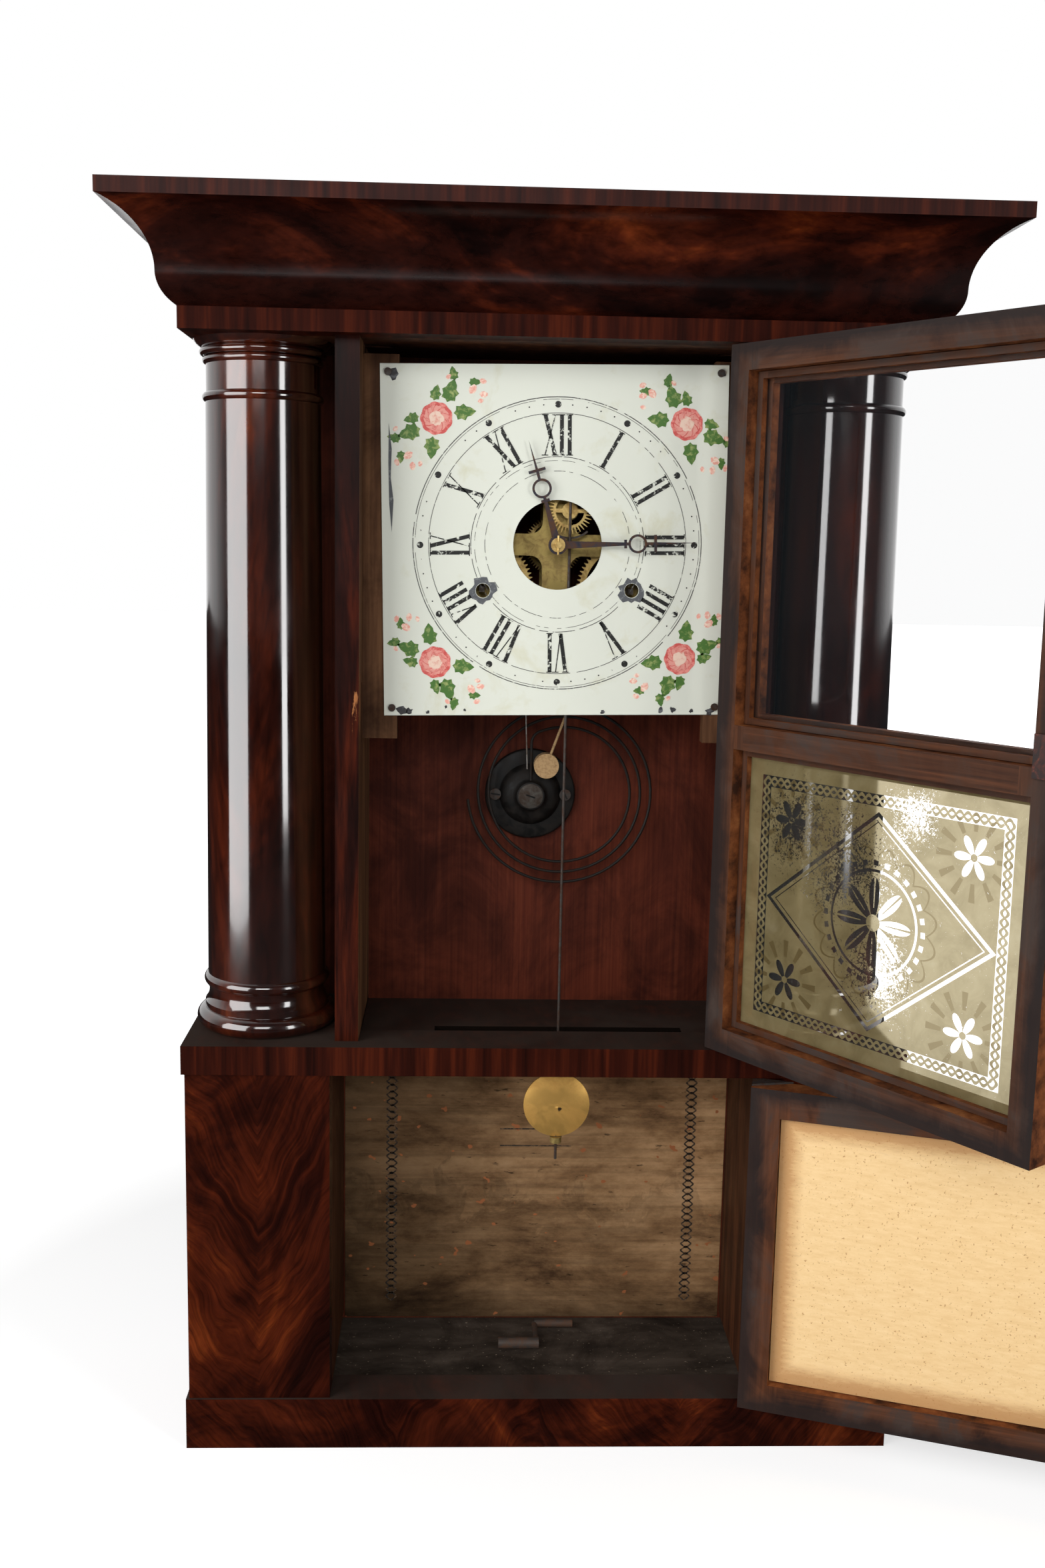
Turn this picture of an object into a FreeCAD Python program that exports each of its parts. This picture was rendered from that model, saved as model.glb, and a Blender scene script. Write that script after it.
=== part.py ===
"""Hollow column shelf clock with two weights, built as an assembly of separate pieces.

Millimetres, +Z up, the front faces -Y. The origin is the middle of the base on the shelf.
"""
import FreeCAD, Part
import math
import os
import Sketcher
from FreeCAD import Placement, Rotation, Vector

doc = FreeCAD.newDocument("hollow_column_clock")
sheet = doc.addObject("Spreadsheet::Sheet", "Sizes")

# Driving dimensions: name, value in millimetres (degrees for angles, plain counts), meaning
DIMENSIONS = [
    ("case_width", 470, "plinth and ledge width"),
    ("case_depth", 118, "plinth front to back board"),
    ("back_thickness", 9, "back board"),
    ("back_inset", 4, "back board edge inside the plinth side"),
    ("plinth_height", 35, "plinth rails"),
    ("plinth_front_rail", 30, "plinth front rail, front to back"),
    ("plinth_rail", 14, "plinth side rails"),
    ("floor_thickness", 30, "lower floor board"),
    ("sill_step", 5, "plinth top above the lower floor"),
    ("lower_height", 225, "plinth top to ledge underside"),
    ("ledge_thickness", 19, "ledge between the two compartments"),
    ("ledge_recess", 3, "upper floor below the ledge top"),
    ("ledge_sill", 36, "ledge front to the upper floor recess"),
    ("upper_height", 444, "ledge top to frieze underside"),
    ("frieze_height", 13, "frieze rail"),
    ("frieze_thickness", 20, "frieze rail and cornice foot, front to back"),
    ("frieze_inset", 5, "frieze end inside the plinth end"),
    ("ogee_height", 55, "cornice curve"),
    ("ogee_swell", 10.5, "projection of the lower round of the cornice"),
    ("ogee_swell_height", 18, "height of the lower round of the cornice"),
    ("cornice_projection", 38.5, "cornice past the frieze"),
    ("fascia_height", 9, "upright top edge of the cornice"),
    ("top_thickness", 8, "dust board on the cornice"),
    ("top_inset", 6, "dust board below the cornice top"),
    ("soffit_thickness", 8, "board between columns and cornice"),
    ("pier_inset", 2, "pier face behind the plinth face"),
    ("pier_thickness", 20, "pier front board"),
    ("side_thickness", 12, "outer board of the lower case"),
    ("wall_thickness", 10, "inner board of the lower case"),
    ("pier_width", 93, "pier front"),
    ("upper_side_thickness", 15, "upper side board, its front edge shows as a strip"),
    ("strip_setback", 12.5, "strip behind the ledge front"),
    ("column_inset", 48.5, "column axis inside the plinth side"),
    ("column_room", 49, "column axis to the upper side board"),
    ("column_setback", 56.5, "column axis behind the ledge front"),
    ("column_bore", 54, "bore of the hollow column"),
    ("torus_radius", 46.5, "column base roll"),
    ("torus_height", 13, "column base roll"),
    ("torus_swell", 5, "column base roll past its foot"),
    ("base_lip_radius", 41, "fillet over the base roll"),
    ("base_lip_height", 4, "fillet over the base roll"),
    ("scotia_height", 11, "hollow between base fillet and base bead"),
    ("bead_radius", 41.5, "bead at the foot of the shaft"),
    ("bead_height", 8, "bead at the foot of the shaft"),
    ("shaft_foot_radius", 39, "shaft at the foot"),
    ("shaft_head_radius", 36.3, "shaft at the head"),
    ("neck_height", 38, "astragal underside to the column top"),
    ("astragal_radius", 38.5, "bead under the neck"),
    ("astragal_height", 6, "bead under the neck"),
    ("neck_radius", 35.8, "neck over the astragal"),
    ("ring_radius", 38, "lower ring of the capital"),
    ("ring_height", 5, "each ring of the capital"),
    ("upper_ring_radius", 39.8, "upper ring of the capital"),
    ("echinus_radius", 43.5, "swelling top of the capital"),
    ("echinus_height", 5, "swelling top of the capital"),
    ("slot_length", 167, "pendulum slot through the ledge"),
    ("slot_width", 14, "pendulum slot through the ledge"),
    ("door_gap", 1.5, "around each closed door"),
    ("pivot_forward", 1, "door pivot in front of the door face"),
    ("pivot_inset", 1, "door pivot inside the door edge"),
    ("pivot_setback", 1, "door pivot behind the strip or pier face"),
    ("pivot_radius", 1.5, "door pivot pin"),
    ("pivot_clearance", 0.05, "around each pivot pin"),
    ("pivot_ear", 2.1, "pivot plate round its pin"),
    ("pivot_length", 6, "door pivot pin past its plate"),
    ("pivot_end_play", 1, "hole deeper than the pin"),
    ("pivot_plate", 1.2, "pivot plate thickness"),
    ("pivot_plate_length", 24, "pivot plate along the door"),
    ("pivot_plate_depth", 13, "pivot plate across the door edge"),
    ("upper_door_angle", 125.5, "upper door as it stands open"),
    ("upper_door_thickness", 20, "upper door"),
    ("upper_stile", 22, "upper door stile at its face"),
    ("upper_rail", 23, "upper door top and bottom rails at the face"),
    ("middle_rail", 29, "upper door middle rail at the face"),
    ("middle_rail_height", 204, "door foot to the middle of its middle rail"),
    ("rabbet_step", 7, "rabbet behind the face, each side"),
    ("rabbet_lip", 6, "face thickness in front of the glass"),
    ("glass_thickness", 2, "door glass"),
    ("glass_clearance", 0.5, "around each glass in its rabbet"),
    ("glazing_bead", 4, "bead that holds each glass"),
    ("lower_door_angle", 161, "lower door as it stands open"),
    ("lower_door_thickness", 16, "lower door"),
    ("lower_stile", 26, "lower door stiles and rails at the face"),
    ("lower_lip", 6, "lower door face in front of the panel"),
    ("panel_thickness", 4, "lower door panel"),
    ("catch_rise", 6.5, "catch spindle above the middle of the middle rail"),
    ("catch_inset", 10, "catch spindle from the door's free edge"),
    ("catch_spindle_radius", 2.5, "catch spindle"),
    ("catch_knob_radius", 8, "catch knob"),
    ("catch_knob_length", 13, "catch knob in front of the door"),
    ("catch_tongue_length", 19, "catch tongue past the spindle axis"),
    ("catch_tongue_width", 8, "catch tongue"),
    ("catch_tongue_thickness", 2, "catch tongue"),
    ("catch_clearance", 0.6, "catch to wood"),
]
DIMENSIONS += [
    ("dial_side_gap", 12.25, "painted dial to each upper side board"),
    ("dial_height", 222, "painted dial"),
    ("dial_thickness", 1, "painted dial"),
    ("dial_setback", 44.5, "dial face behind the ledge front"),
    ("dial_centre_height", 1.5, "middle of the dial plate above the hands"),
    ("dial_tilt", 1, "dial turned in its own plane"),
    ("dial_hole_radius", 28.5, "opening around the hands"),
    ("winding_hole_radius", 4.6, "holes for the winding squares"),
    ("hand_axis_x", 2, "hands from the middle of the case"),
    ("hand_axis_height", 123, "from the hands up to the frieze"),
    ("winding_x", 48, "winding arbors from the hands, sideways"),
    ("winding_drop", 29, "winding arbors below the hands"),
    ("dial_rail_width", 22.5, "wooden rail behind each dial edge"),
    ("dial_rail_depth", 10, "wooden rail behind each dial edge"),
    ("dial_rail_drop", 17, "rail below the dial"),
    ("dial_rail_rise", 4, "rail above the dial"),
    ("dial_pin_radius", 1.2, "dial pin"),
    ("dial_pin_inset", 5, "dial pin from the dial edge"),
    ("dial_pin_length", 7, "dial pin in the rail"),
    ("label_thickness", 0.4, "paper label on the back board"),
    ("label_margin", 1, "paper label from the walls"),
    ("plate_gap", 12, "dial back to movement front plate"),
    ("plate_thickness", 2, "movement plates"),
    ("movement_gap", 22.5, "movement back plate to the back board"),
    ("plate_half_width", 64, "movement plates from the hands"),
    ("plate_rise", 54, "movement plates above the hands"),
    ("plate_drop", 58, "movement plates below the hands"),
    ("plate_bar", 9, "half width of the middle strap"),
    ("plate_arm", 7, "half height of the cross arms"),
    ("plate_window_side", 38, "window edge from the hands"),
    ("plate_window_end", 44, "window end from the hands"),
    ("plate_window_round", 8, "window corner radius"),
    ("post_radius", 3, "movement posts"),
    ("post_top_x", 52, "upper posts from the hands"),
    ("post_top_rise", 46, "upper posts above the hands"),
    ("post_foot_x", 14, "lower posts from the hands"),
    ("post_foot_drop", 50, "lower posts below the hands"),
    ("post_end", 4, "posts in front of the front plate"),
    ("running_clearance", 0.05, "arbors in their holes"),
    ("end_shake", 0.6, "wheels and arbors from what they face"),
    ("arbor_radius", 2, "arbors"),
    ("drum_radius", 15, "cord drum"),
    ("drum_length", 16, "cord drum"),
    ("great_wheel_radius", 34, "great wheel over its teeth"),
    ("great_wheel_teeth", 72, "teeth"),
    ("wheel_thickness", 2, "wheels"),
    ("tooth_depth", 2.2, "wheel teeth"),
    ("winding_square", 3.6, "winding square across its flats"),
    ("winding_end_gap", 2, "winding square behind the dial face"),
    ("centre_wheel_radius", 19.5, "centre wheel over its teeth"),
    ("centre_wheel_teeth", 60, "teeth"),
    ("escape_x", 8, "escape wheel from the hands, sideways"),
    ("escape_rise", 22, "escape wheel above the hands"),
    ("escape_radius", 15, "escape wheel over its teeth"),
    ("escape_teeth", 36, "teeth"),
    ("escape_tooth_depth", 4.2, "escape wheel teeth"),
    ("escape_thickness", 1.2, "escape wheel"),
    ("escape_gap", 5, "escape wheel in front of the front plate"),
    ("verge_clearance", 1.7, "verge strip outside the wheel teeth"),
    ("verge_thickness", 1.2, "verge strip"),
    ("verge_width", 3, "verge strip, front to back"),
    ("verge_half_angle", 42, "verge strip each side of its pivot"),
    ("verge_hub_radius", 2.6, "verge hub"),
    ("verge_pin_radius", 1, "pin that the verge turns on"),
    ("crutch_radius", 0.7, "crutch wire"),
    ("crutch_foot_height", 75, "crutch loop above the gong base"),
    ("count_x", 44, "count wheel from the hands, sideways"),
    ("count_rise", 22, "count wheel above the hands"),
    ("count_radius", 18, "count wheel"),
    ("count_slots", 12, "count wheel slots"),
    ("count_slot_depth", 2.5, "count wheel slots"),
    ("count_slot_width", 2, "count wheel slots"),
    ("fly_x", 46, "fly from the hands, sideways"),
    ("fly_rise", 28, "fly above the hands"),
    ("fly_wing", 10, "fly wing from its arbor"),
    ("fly_length", 18, "fly wing along its arbor"),
    ("fly_thickness", 0.6, "fly wing"),
    ("pipe_radius", 3.5, "hour pipe"),
    ("hand_thickness", 0.8, "hands"),
    ("hour_hand_gap", 2.8, "hour hand in front of the dial"),
    ("hand_gap", 2.2, "between the hands"),
    ("hour_hand_length", 68, "hour hand"),
    ("hour_ring_distance", 37, "hour hand ring from the axis"),
    ("hour_ring_radius", 6.2, "hour hand ring"),
    ("minute_hand_length", 90, "minute hand"),
    ("minute_ring_distance", 51, "minute hand ring from the axis"),
    ("minute_ring_radius", 6, "minute hand ring"),
    ("hand_ring_width", 1.5, "hand rings"),
    ("hand_hub_radius", 6, "hand hubs"),
    ("hand_root_width", 5, "hand blades at the hub"),
    ("hand_neck_width", 1.8, "hand blades at the ring"),
    ("hand_bar", 11, "cross bars of the hands"),
    ("hour_hand_angle", 343, "hour hand, clockwise from the top"),
    ("minute_hand_angle", 88, "minute hand, clockwise from the top"),
    ("washer_radius", 4.5, "hand washer"),
    ("washer_thickness", 1, "hand washer"),
    ("taper_pin_radius", 0.7, "hand pin"),
    ("taper_pin_length", 12, "hand pin"),
    ("pendulum_x", 10, "pendulum from the middle of the case"),
    ("pendulum_gap", 2.2, "pendulum behind the dial back"),
    ("pendulum_pivot_height", 44, "pendulum suspension above the hands"),
    ("pendulum_pin_radius", 1.2, "suspension pin"),
    ("rod_radius", 0.9, "pendulum rod"),
    ("bob_height", 188.5, "middle of the pendulum bob above the plinth"),
    ("bob_radius", 22.5, "pendulum bob"),
    ("bob_thickness", 9, "pendulum bob"),
    ("bob_rim", 1.6, "pendulum bob at its rim"),
    ("rod_tail", 39, "threaded rod below the bob middle"),
    ("nut_radius", 4, "rating nut"),
    ("nut_height", 4, "rating nut"),
    ("gong_x", -9.4, "gong base from the middle of the case"),
    ("gong_height", 148, "gong base above the ledge"),
    ("gong_radius", 31.7, "gong base"),
    ("gong_rim", 6, "gong base rim thickness"),
    ("gong_flat", 18, "gong base dome at its foot"),
    ("gong_dome_radius", 12, "gong base dome at its top"),
    ("gong_dome", 9, "gong base thickness at its middle"),
    ("gong_block", 14, "block that holds the gong wire"),
    ("gong_block_front", 16, "block front from the back board"),
    ("gong_screw_x", 24.5, "gong screws from the gong middle"),
    ("gong_screw_radius", 4, "gong screw heads"),
    ("gong_screw_head", 2, "gong screw heads"),
    ("coil_x", 13.6, "coil middle from the middle of the case"),
    ("coil_height", 2.2, "coil middle above the gong base"),
    ("coil_inner_radius", 46.3, "coil at its inner end"),
    ("coil_pitch", 7.3, "coil growth each turn"),
    ("coil_turn_angle", 1006, "coil from end to end"),
    ("coil_wire_radius", 1, "gong wire"),
    ("coil_front", 12.5, "gong wire in front of the back board"),
    ("coil_bend_radius", 9, "bend from the stem into the coil"),
    ("hammer_pivot_x", 37, "hammer pivot from the middle of the case"),
    ("hammer_pivot_drop", 50, "hammer pivot below the hands"),
    ("hammer_x", 0.9, "hammer head from the middle of the case"),
    ("hammer_height", 22, "hammer head above the gong base"),
    ("hammer_radius", 8.6, "hammer head"),
    ("hammer_length", 9, "hammer head, front to back"),
    ("hammer_wire_radius", 0.9, "hammer wire"),
    ("hammer_hub_radius", 4, "hammer hub"),
    ("hammer_hub_length", 8, "hammer hub"),
    ("hammer_gap", 2, "hammer hub behind the back plate"),
    ("weight_radius", 22, "weights"),
    ("weight_length", 130, "weights"),
    ("weight_top", 361, "weight top above the ledge, half wound"),
    ("weight_eye_radius", 5, "eye on each weight"),
    ("weight_eye_wire", 1.5, "eye wire radius"),
    ("cord_radius", 1, "weight cords"),
    ("cord_clearance", 0.3, "cord to pulley and drum"),
    ("cord_drum_y", 8, "cord on the drum, from the middle of the case depth"),
    ("pulley_groove_radius", 12.6, "pulley at the bottom of its groove"),
    ("pulley_radius", 17, "pulley flanges"),
    ("pulley_width", 8, "pulley"),
    ("pulley_axle_radius", 2, "pulley axle"),
    ("pulley_height", 24, "pulley axle above the soffit board"),
    ("bracket_thickness", 2, "pulley bracket cheeks"),
    ("bracket_width", 14, "pulley bracket cheeks"),
    ("bracket_gap", 0.6, "pulley to each cheek"),
    ("cord_slot_width", 8, "slots for the cords"),
    ("cord_notch_depth", 27, "cord notch in the top of each side board"),
    ("key_radius", 3, "winding key socket"),
    ("key_arm_radius", 2, "winding key arm"),
    ("key_socket_length", 28, "winding key socket"),
    ("key_socket_depth", 14, "square hole in the winding key"),
    ("key_arm_length", 28, "winding key arm"),
    ("key_grip_radius", 4, "winding key grip"),
    ("key_grip_length", 29, "winding key grip"),
    ("key_x", 1, "winding key arm from the middle of the case"),
    ("key_y", 39, "winding key socket behind the middle of the case depth"),
]


class Size:
    """A number together with the spreadsheet formula that gives it."""

    def __init__(self, value, formula):
        self.value = float(value)
        self.formula = formula

    def __add__(self, other):
        other = size(other)
        return Size(self.value + other.value, f"({self.formula} + {other.formula})")

    def __radd__(self, other):
        return size(other) + self

    def __sub__(self, other):
        other = size(other)
        return Size(self.value - other.value, f"({self.formula} - {other.formula})")

    def __rsub__(self, other):
        return size(other) - self

    def __mul__(self, other):
        other = size(other)
        return Size(self.value * other.value, f"({self.formula} * {other.formula})")

    def __rmul__(self, other):
        return size(other) * self

    def __truediv__(self, other):
        other = size(other)
        return Size(self.value / other.value, f"({self.formula} / {other.formula})")

    def __neg__(self):
        return Size(-self.value, f"(-1 * {self.formula})")


def size(number):
    return number if isinstance(number, Size) else Size(number, repr(float(number)))


class Sizes:
    """The driving dimensions by name."""


dim = Sizes()
for row, (alias, value, meaning) in enumerate(DIMENSIONS, start=1):
    sheet.set(f"A{row}", alias)
    sheet.set(f"B{row}", str(value))
    sheet.set(f"C{row}", meaning)
    sheet.setAlias(f"B{row}", alias)
    setattr(dim, alias, Size(value, f"Sizes.{alias}"))
doc.recompute()

# Levels and planes that several pieces share
front = -(dim.case_depth + dim.back_thickness) / 2
back = front + dim.case_depth
half_width = dim.case_width / 2
plinth_top = dim.plinth_height
floor_top = plinth_top - dim.sill_step
ledge_foot = plinth_top + dim.lower_height
ledge_top = ledge_foot + dim.ledge_thickness
frieze_foot = ledge_top + dim.upper_height
frieze_top = frieze_foot + dim.frieze_height
fascia_foot = frieze_top + dim.ogee_height
cornice_top = fascia_foot + dim.fascia_height
soffit_top = frieze_foot + dim.soffit_thickness
frieze_half = half_width - dim.frieze_inset
pier_face = front + dim.pier_inset
pier_back = pier_face + dim.pier_thickness
pier_half = half_width - dim.pier_inset
strip_face = front + dim.strip_setback
column_x = half_width - dim.column_inset
side_outer = column_x - dim.column_room
upper_half = side_outer - dim.upper_side_thickness
lower_half = pier_half - dim.pier_width
column_y = front + dim.column_setback
dial_face = front + dim.dial_setback
dial_back = dial_face + dim.dial_thickness
plate_face = dial_back + dim.plate_gap
plate_inner = plate_face + dim.plate_thickness
back_plate_back = back - dim.movement_gap
back_plate_face = back_plate_back - dim.plate_thickness
plate_spacing = back_plate_face - plate_inner
pendulum_y = dial_back + dim.pendulum_gap
catch_z = ledge_top + dim.door_gap + dim.middle_rail_height + dim.catch_rise
hand_x = dim.hand_axis_x
hand_z = frieze_foot - dim.hand_axis_height
dial_z = hand_z + dim.dial_centre_height
pivot_z = hand_z + dim.pendulum_pivot_height
gong_z = ledge_top + dim.gong_height
crutch_foot = gong_z + dim.crutch_foot_height
hammer_z = gong_z + dim.hammer_height
bob_z = plinth_top + dim.bob_height
weight_z = ledge_top + dim.weight_top

parts = []


def keep(piece, label):
    """Register a finished piece under its name."""
    piece.Label = label
    parts.append(piece)
    return piece


def bind(item, path, amount):
    item.setExpression(path, size(amount).formula)


def place(item, x=0, y=0, z=0, axis=(0, 0, 1), angle=0):
    """Move a piece to a bound position and turn it about an axis."""
    item.Placement = Placement(Vector(0, 0, 0), Rotation(Vector(*axis), size(angle).value))
    for letter, amount in (("x", x), ("y", y), ("z", z)):
        bind(item, f"Placement.Base.{letter}", amount)
    if isinstance(angle, Size):
        bind(item, "Placement.Rotation.Angle", angle)


def box(x, y, z, name="Block"):
    """A block between pairs of bound coordinates."""
    block = doc.addObject("Part::Box", name)
    for side, (low, high) in (("Length", x), ("Width", y), ("Height", z)):
        bind(block, side, size(high) - low)
    place(block, x[0], y[0], z[0])
    return block


def cylinder(radius, length, name="Round"):
    rod = doc.addObject("Part::Cylinder", name)
    bind(rod, "Radius", radius)
    bind(rod, "Height", length)
    return rod


def rod_along_y(x, z, y, radius):
    """A cylinder along the depth of the case between two bound planes."""
    rod = cylinder(radius, size(y[1]) - y[0])
    place(rod, x, y[0], z, (1, 0, 0), -90)
    return rod


def rod_along_z(x, y, z, radius):
    rod = cylinder(radius, size(z[1]) - z[0])
    place(rod, x, y, z[0])
    return rod


def cut(base, tool):
    result = doc.addObject("Part::Cut", "Cut")
    result.Base = base
    result.Tool = tool
    return result


def cut_all(base, tools):
    for tool in tools:
        base = cut(base, tool)
    return base


def fuse(pieces):
    result = doc.addObject("Part::MultiFuse", "Joined")
    result.Shapes = pieces
    return result


def group(pieces):
    """Several separate solids that share one name."""
    result = doc.addObject("Part::Compound", "Group")
    result.Links = pieces
    return result


def new_body(name):
    return doc.addObject("PartDesign::Body", name)


def new_sketch(body, role):
    plane = next(item for item in body.Origin.OriginFeatures if item.Role == role)
    sketch = body.newObject("Sketcher::SketchObject", "Outline")
    sketch.AttachmentSupport = [(plane, "")]
    sketch.MapMode = "FlatFace"
    return sketch


def fix(sketch, kind, *where_and_amount):
    """Add a bound measure to a sketch."""
    *where, amount = where_and_amount
    amount = size(amount)
    index = sketch.addConstraint(Sketcher.Constraint(kind, *where, amount.value))
    bind(sketch, f"Constraints[{index}]", amount)


def outline(sketch, points):
    """Close a loop of lines and arcs: (x, y) or (x, y, radius, side) for an arc to the next point.

    Side +1 puts the middle of the arc on the left of the way from this point to the next.
    """
    first = sketch.GeometryCount
    count = len(points)
    starts = []
    for index, point in enumerate(points):
        after = points[(index + 1) % count]
        start = Vector(size(point[0]).value, size(point[1]).value, 0)
        end = Vector(size(after[0]).value, size(after[1]).value, 0)
        if len(point) == 2:
            edge = Part.LineSegment(start, end)
        else:
            radius = size(point[2]).value
            chord = end - start
            left = Vector(-chord.y, chord.x, 0).normalize()
            rise = math.sqrt(max(radius ** 2 - (chord.Length / 2) ** 2, 0))
            centre = (start + end) / 2 + left * (rise * point[3])
            edge = Part.Arc(start, centre - left * (radius * point[3]), end)
        here = sketch.addGeometry(edge, False)
        ends = [sketch.getPoint(here, end_number) for end_number in (1, 2)]
        begins = ends[0].distanceToPoint(start) < ends[1].distanceToPoint(start)
        starts.append(1 if begins else 2)
    for index, point in enumerate(points):
        here = first + index
        after = (index + 1) % count
        sketch.addConstraint(
            Sketcher.Constraint("Coincident", here, 3 - starts[index], first + after, starts[after]))
        fix(sketch, "DistanceX", -1, 1, here, starts[index], point[0])
        fix(sketch, "DistanceY", -1, 1, here, starts[index], point[1])
        if len(point) == 4:
            fix(sketch, "Radius", here, point[2])


def ring(sketch, x, y, radius):
    here = sketch.GeometryCount
    middle = Vector(size(x).value, size(y).value, 0)
    sketch.addGeometry(Part.Circle(middle, Vector(0, 0, 1), size(radius).value), False)
    fix(sketch, "DistanceX", -1, 1, here, 3, x)
    fix(sketch, "DistanceY", -1, 1, here, 3, y)
    fix(sketch, "Radius", here, radius)


def pad(body, sketch, length, backwards=False):
    feature = body.newObject("PartDesign::Pad", "Pad")
    feature.Profile = sketch
    feature.Reversed = backwards
    bind(feature, "Length", length)
    return feature


def pocket(body, sketch, depth, backwards=False):
    feature = body.newObject("PartDesign::Pocket", "Pocket")
    feature.Profile = sketch
    feature.Reversed = backwards
    bind(feature, "Length", depth)
    return feature


def slab(name, role, points, length, holes=(), backwards=False):
    """A sketched outline with round holes, padded to a thickness."""
    body = new_body(name)
    sketch = new_sketch(body, role)
    outline(sketch, points)
    for hole in holes:
        ring(sketch, *hole)
    pad(body, sketch, length, backwards)
    return body


def turned(name, points):
    """A half outline of (radius, height) points turned about the upright axis."""
    body = new_body(name)
    sketch = new_sketch(body, "XZ_Plane")
    outline(sketch, points)
    feature = body.newObject("PartDesign::Revolution", "Turning")
    feature.Profile = sketch
    feature.ReferenceAxis = (sketch, ["V_Axis"])
    feature.Angle = 360
    return body


def rectangle(x0, x1, y0, y1):
    return [(x0, y0), (x1, y0), (x1, y1), (x0, y1)]


# Plinth: a front rail and two side rails, with the two lower door pivot holes in its front rail
def door_pivot(half_opening, face):
    """Where a door's pivot axis stands: x, y."""
    return half_opening - dim.door_gap - dim.pivot_inset, face + dim.pivot_setback


upper_pivot = door_pivot(upper_half, strip_face)
lower_pivot = door_pivot(lower_half, pier_face)
pivot_hole_radius = dim.pivot_radius + dim.pivot_clearance
pivot_hole_depth = dim.pivot_length + dim.pivot_end_play


def pivot_hole(pivot, z):
    return rod_along_z(*pivot, z, pivot_hole_radius)


plinth = slab("Plinth", "XY_Plane", rectangle(-half_width, half_width, front, back), plinth_top)
plinth_inner = rectangle(
    -half_width + dim.plinth_rail, half_width - dim.plinth_rail,
    front + dim.plinth_front_rail, back)
plinth_cut = new_sketch(plinth, "XY_Plane")
outline(plinth_cut, plinth_inner)
pocket(plinth, plinth_cut, plinth_top, True)
keep(cut(plinth, pivot_hole(lower_pivot, (plinth_top - pivot_hole_depth, plinth_top))), "base_plinth")
lower_floor = slab("Floor", "XY_Plane", plinth_inner, dim.floor_thickness)
place(lower_floor, 0, 0, floor_top - dim.floor_thickness)
keep(lower_floor, "lower_floor")

# Lower case: piers, outer boards and inner boards
lower_span = (plinth_top, ledge_foot)
wall_outer = lower_half + dim.wall_thickness
keep(box((-pier_half, -lower_half), (pier_face, pier_back), lower_span), "pier_left")
keep(box((lower_half, pier_half), (pier_face, pier_back), lower_span), "pier_right")
keep(group([
    box((-pier_half, -pier_half + dim.side_thickness), (pier_back, back), lower_span),
    box((pier_half - dim.side_thickness, pier_half), (pier_back, back), lower_span)]), "lower_sides")
keep(group([
    box((-wall_outer, -lower_half), (pier_back, back), lower_span),
    box((lower_half, wall_outer), (pier_back, back), lower_span)]), "lower_walls")

# Ledge: recessed upper floor, pendulum slot, weight openings and door pivot holes
ledge = slab(
    "Ledge", "XY_Plane", rectangle(-half_width, half_width, front, back), dim.ledge_thickness,
    holes=[(-column_x, column_y, dim.column_bore / 2), (column_x, column_y, dim.column_bore / 2)])
ledge_cut = new_sketch(ledge, "XY_Plane")
outline(ledge_cut, rectangle(
    dim.pendulum_x - dim.slot_length / 2, dim.pendulum_x + dim.slot_length / 2,
    pendulum_y - dim.slot_width / 2, pendulum_y + dim.slot_width / 2))
pocket(ledge, ledge_cut, dim.ledge_thickness, True)
place(ledge, 0, 0, ledge_foot)
floor_recess = box(
    (-upper_half, upper_half), (front + dim.ledge_sill, back),
    (ledge_top - dim.ledge_recess, ledge_top))
keep(cut_all(ledge, [
    floor_recess,
    pivot_hole(lower_pivot, (ledge_foot, ledge_foot + pivot_hole_depth)),
    pivot_hole(upper_pivot, (ledge_top - pivot_hole_depth, ledge_top))]), "waist_ledge")

# Cord plane on each side: it stands upright through the column axis and the drum's cord
pulley_pitch = dim.pulley_groove_radius + dim.cord_radius + dim.cord_clearance
pulley_z = soffit_top + dim.pulley_height
drum_z = hand_z - dim.winding_drop
drum_pitch = dim.drum_radius + dim.cord_radius + dim.cord_clearance
SIDES = (("left", -1), ("right", 1))


def drum_x(side):
    return hand_x + dim.winding_x * side


def cord_turn(side):
    """Angle in degrees of the cord plane's inward direction, measured from +X."""
    across = (drum_x(side) - column_x * side).value
    return math.degrees(math.atan2((dim.cord_drum_y - column_y).value, across))


def place_in_cord_plane(item, side, along, up, across=0.0):
    """Put a piece at a distance from the column axis along the cord plane."""
    turn = math.radians(cord_turn(side))
    x = column_x * side + along * math.cos(turn) - across * math.sin(turn)
    y = column_y + along * math.sin(turn) + across * math.cos(turn)
    place(item, x, y, up, (0, 0, 1), math.degrees(turn))


def cord_slot(side, low, high):
    """A slot for the cord, from the column axis to inside the upper side board."""
    slot_end = column_x - upper_half + dim.upper_side_thickness
    slot = doc.addObject("Part::Box", "CordSlot")
    bind(slot, "Length", slot_end + dim.cord_slot_width)
    bind(slot, "Width", dim.cord_slot_width)
    bind(slot, "Height", high - low)
    place_in_cord_plane(slot, side, -dim.cord_slot_width / 2, low, -dim.cord_slot_width / 2)
    return slot


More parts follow.
